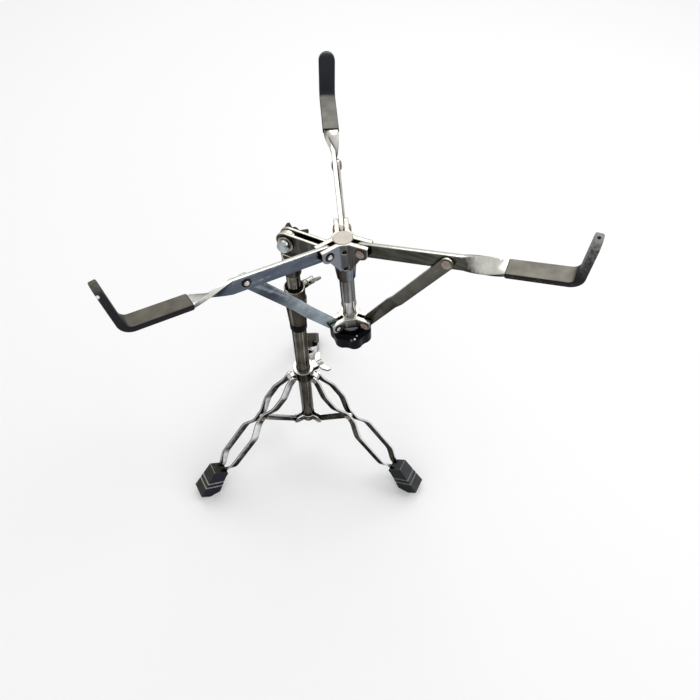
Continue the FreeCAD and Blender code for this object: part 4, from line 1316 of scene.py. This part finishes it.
@dataclass(frozen=True)
class Lens:
    """The photograph's camera: where it stands and how it looks down on the stand."""

    place: Triple = (0.06145, -0.38712, 0.84928)
    pitch_down: float = 56.263
    roll: float = -1.129
    focal_length: float = 26.64
    sensor: float = 36.0
    shift: Pair = (0.00446, -0.00017)
    clip_start: float = 0.01

    def build(self) -> None:
        """Make the camera and let the scene use it."""
        pitch, roll = math.radians(self.pitch_down), math.radians(self.roll)
        ahead = Vector((0.0, math.cos(pitch), -math.sin(pitch)))
        right = Vector((1.0, 0.0, 0.0))
        down = ahead.cross(right)
        across = right * math.cos(roll) + down * math.sin(roll)
        upward = right * math.sin(roll) - down * math.cos(roll)
        data = bpy.data.cameras.new("photo_camera")
        data.lens = self.focal_length
        data.sensor_width = self.sensor
        data.shift_x, data.shift_y = self.shift
        data.clip_start = self.clip_start
        camera = bpy.data.objects.new("photo_camera", data)
        turn = Matrix((across, upward, -ahead)).transposed().to_4x4()
        camera.matrix_world = Matrix.Translation(self.place) @ turn
        bpy.context.scene.collection.objects.link(camera)
        bpy.context.scene.camera = camera


@dataclass(frozen=True)
class SoftBox:
    """A large soft lamp that looks at a point on the stand."""

    name: str
    place: Triple
    aim: Triple
    size: Pair
    power: float

    def build(self) -> None:
        """Make the lamp."""
        data = bpy.data.lights.new(self.name, "AREA")
        data.shape = "RECTANGLE"
        data.size, data.size_y = self.size
        data.energy = self.power
        lamp = bpy.data.objects.new(self.name, data)
        look = (Vector(self.aim) - Vector(self.place)).to_track_quat("-Z", "Y")
        lamp.matrix_world = Matrix.Translation(self.place) @ look.to_matrix().to_4x4()
        bpy.context.scene.collection.objects.link(lamp)


@dataclass(frozen=True)
class Stage:
    """A plain pale floor, an even sky and soft lamps."""

    floor_size: float = 12.0
    floor_colour: Colour = (0.95, 0.95, 0.955)
    floor_roughness: float = 0.9
    floor_specular: float = 0.1
    tooth_scale: float = 60.0
    tooth_depth: float = 0.05 * MM
    tooth_strength: float = 0.1
    sky: float = 0.80
    lamps: Tuple[SoftBox, ...] = (
        SoftBox("back_softbox", (0.05, 1.55, 2.70), (0.05, 0.0, 0.40), (2.2, 1.6), 17.0),
        SoftBox("right_softbox", (1.5, 0.3, 1.9), (0.05, 0.0, 0.30), (0.7, 0.7), 7.5),
    )

    def build(self) -> None:
        """Make the floor, the sky and the lamps."""
        bpy.ops.object.select_all(action="DESELECT")
        bpy.ops.mesh.primitive_plane_add(size=self.floor_size, location=(0.0, 0.0, 0.0))
        floor = bpy.context.active_object
        floor.name = "floor"
        floor.data.materials.append(self._floor_material())
        for lamp in self.lamps:
            lamp.build()
        world = bpy.data.worlds.new("even_sky")
        bpy.context.scene.world = world
        world.use_nodes = True
        background = world.node_tree.nodes["Background"]
        background.inputs["Color"].default_value = (1.0, 1.0, 1.0, 1.0)
        background.inputs["Strength"].default_value = self.sky

    def _floor_material(self) -> Material:
        """A matt pale paper floor with a faint tooth.

        Returns:
            The material.
        """
        s = Shader("floor_paper")
        tooth = s.noise(self.tooth_scale)
        return s.surface(
            Base_Color=(*self.floor_colour, 1.0),
            Roughness=self.floor_roughness,
            Specular_IOR_Level=self.floor_specular,
            Normal=s.relief(tooth, self.tooth_depth, self.tooth_strength),
        )


def main() -> None:
    """Build the stage and dress every sub-assembly in order."""
    logging.basicConfig(level=logging.INFO, format="%(name)s: %(message)s")
    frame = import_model()
    bpy.context.scene.view_settings.view_transform = "Standard"
    bench, shelf = Bench(), FinishShelf()
    Lens().build()
    Stage().build()
    for assembly in (Tripod, Column, Tilter, Basket):
        made = assembly(frame, bench, shelf)
        made.build()
        for name in made.pieces:
            log.info("%s: %s", assembly.__name__, name)


if __name__ == "__main__":
    main()
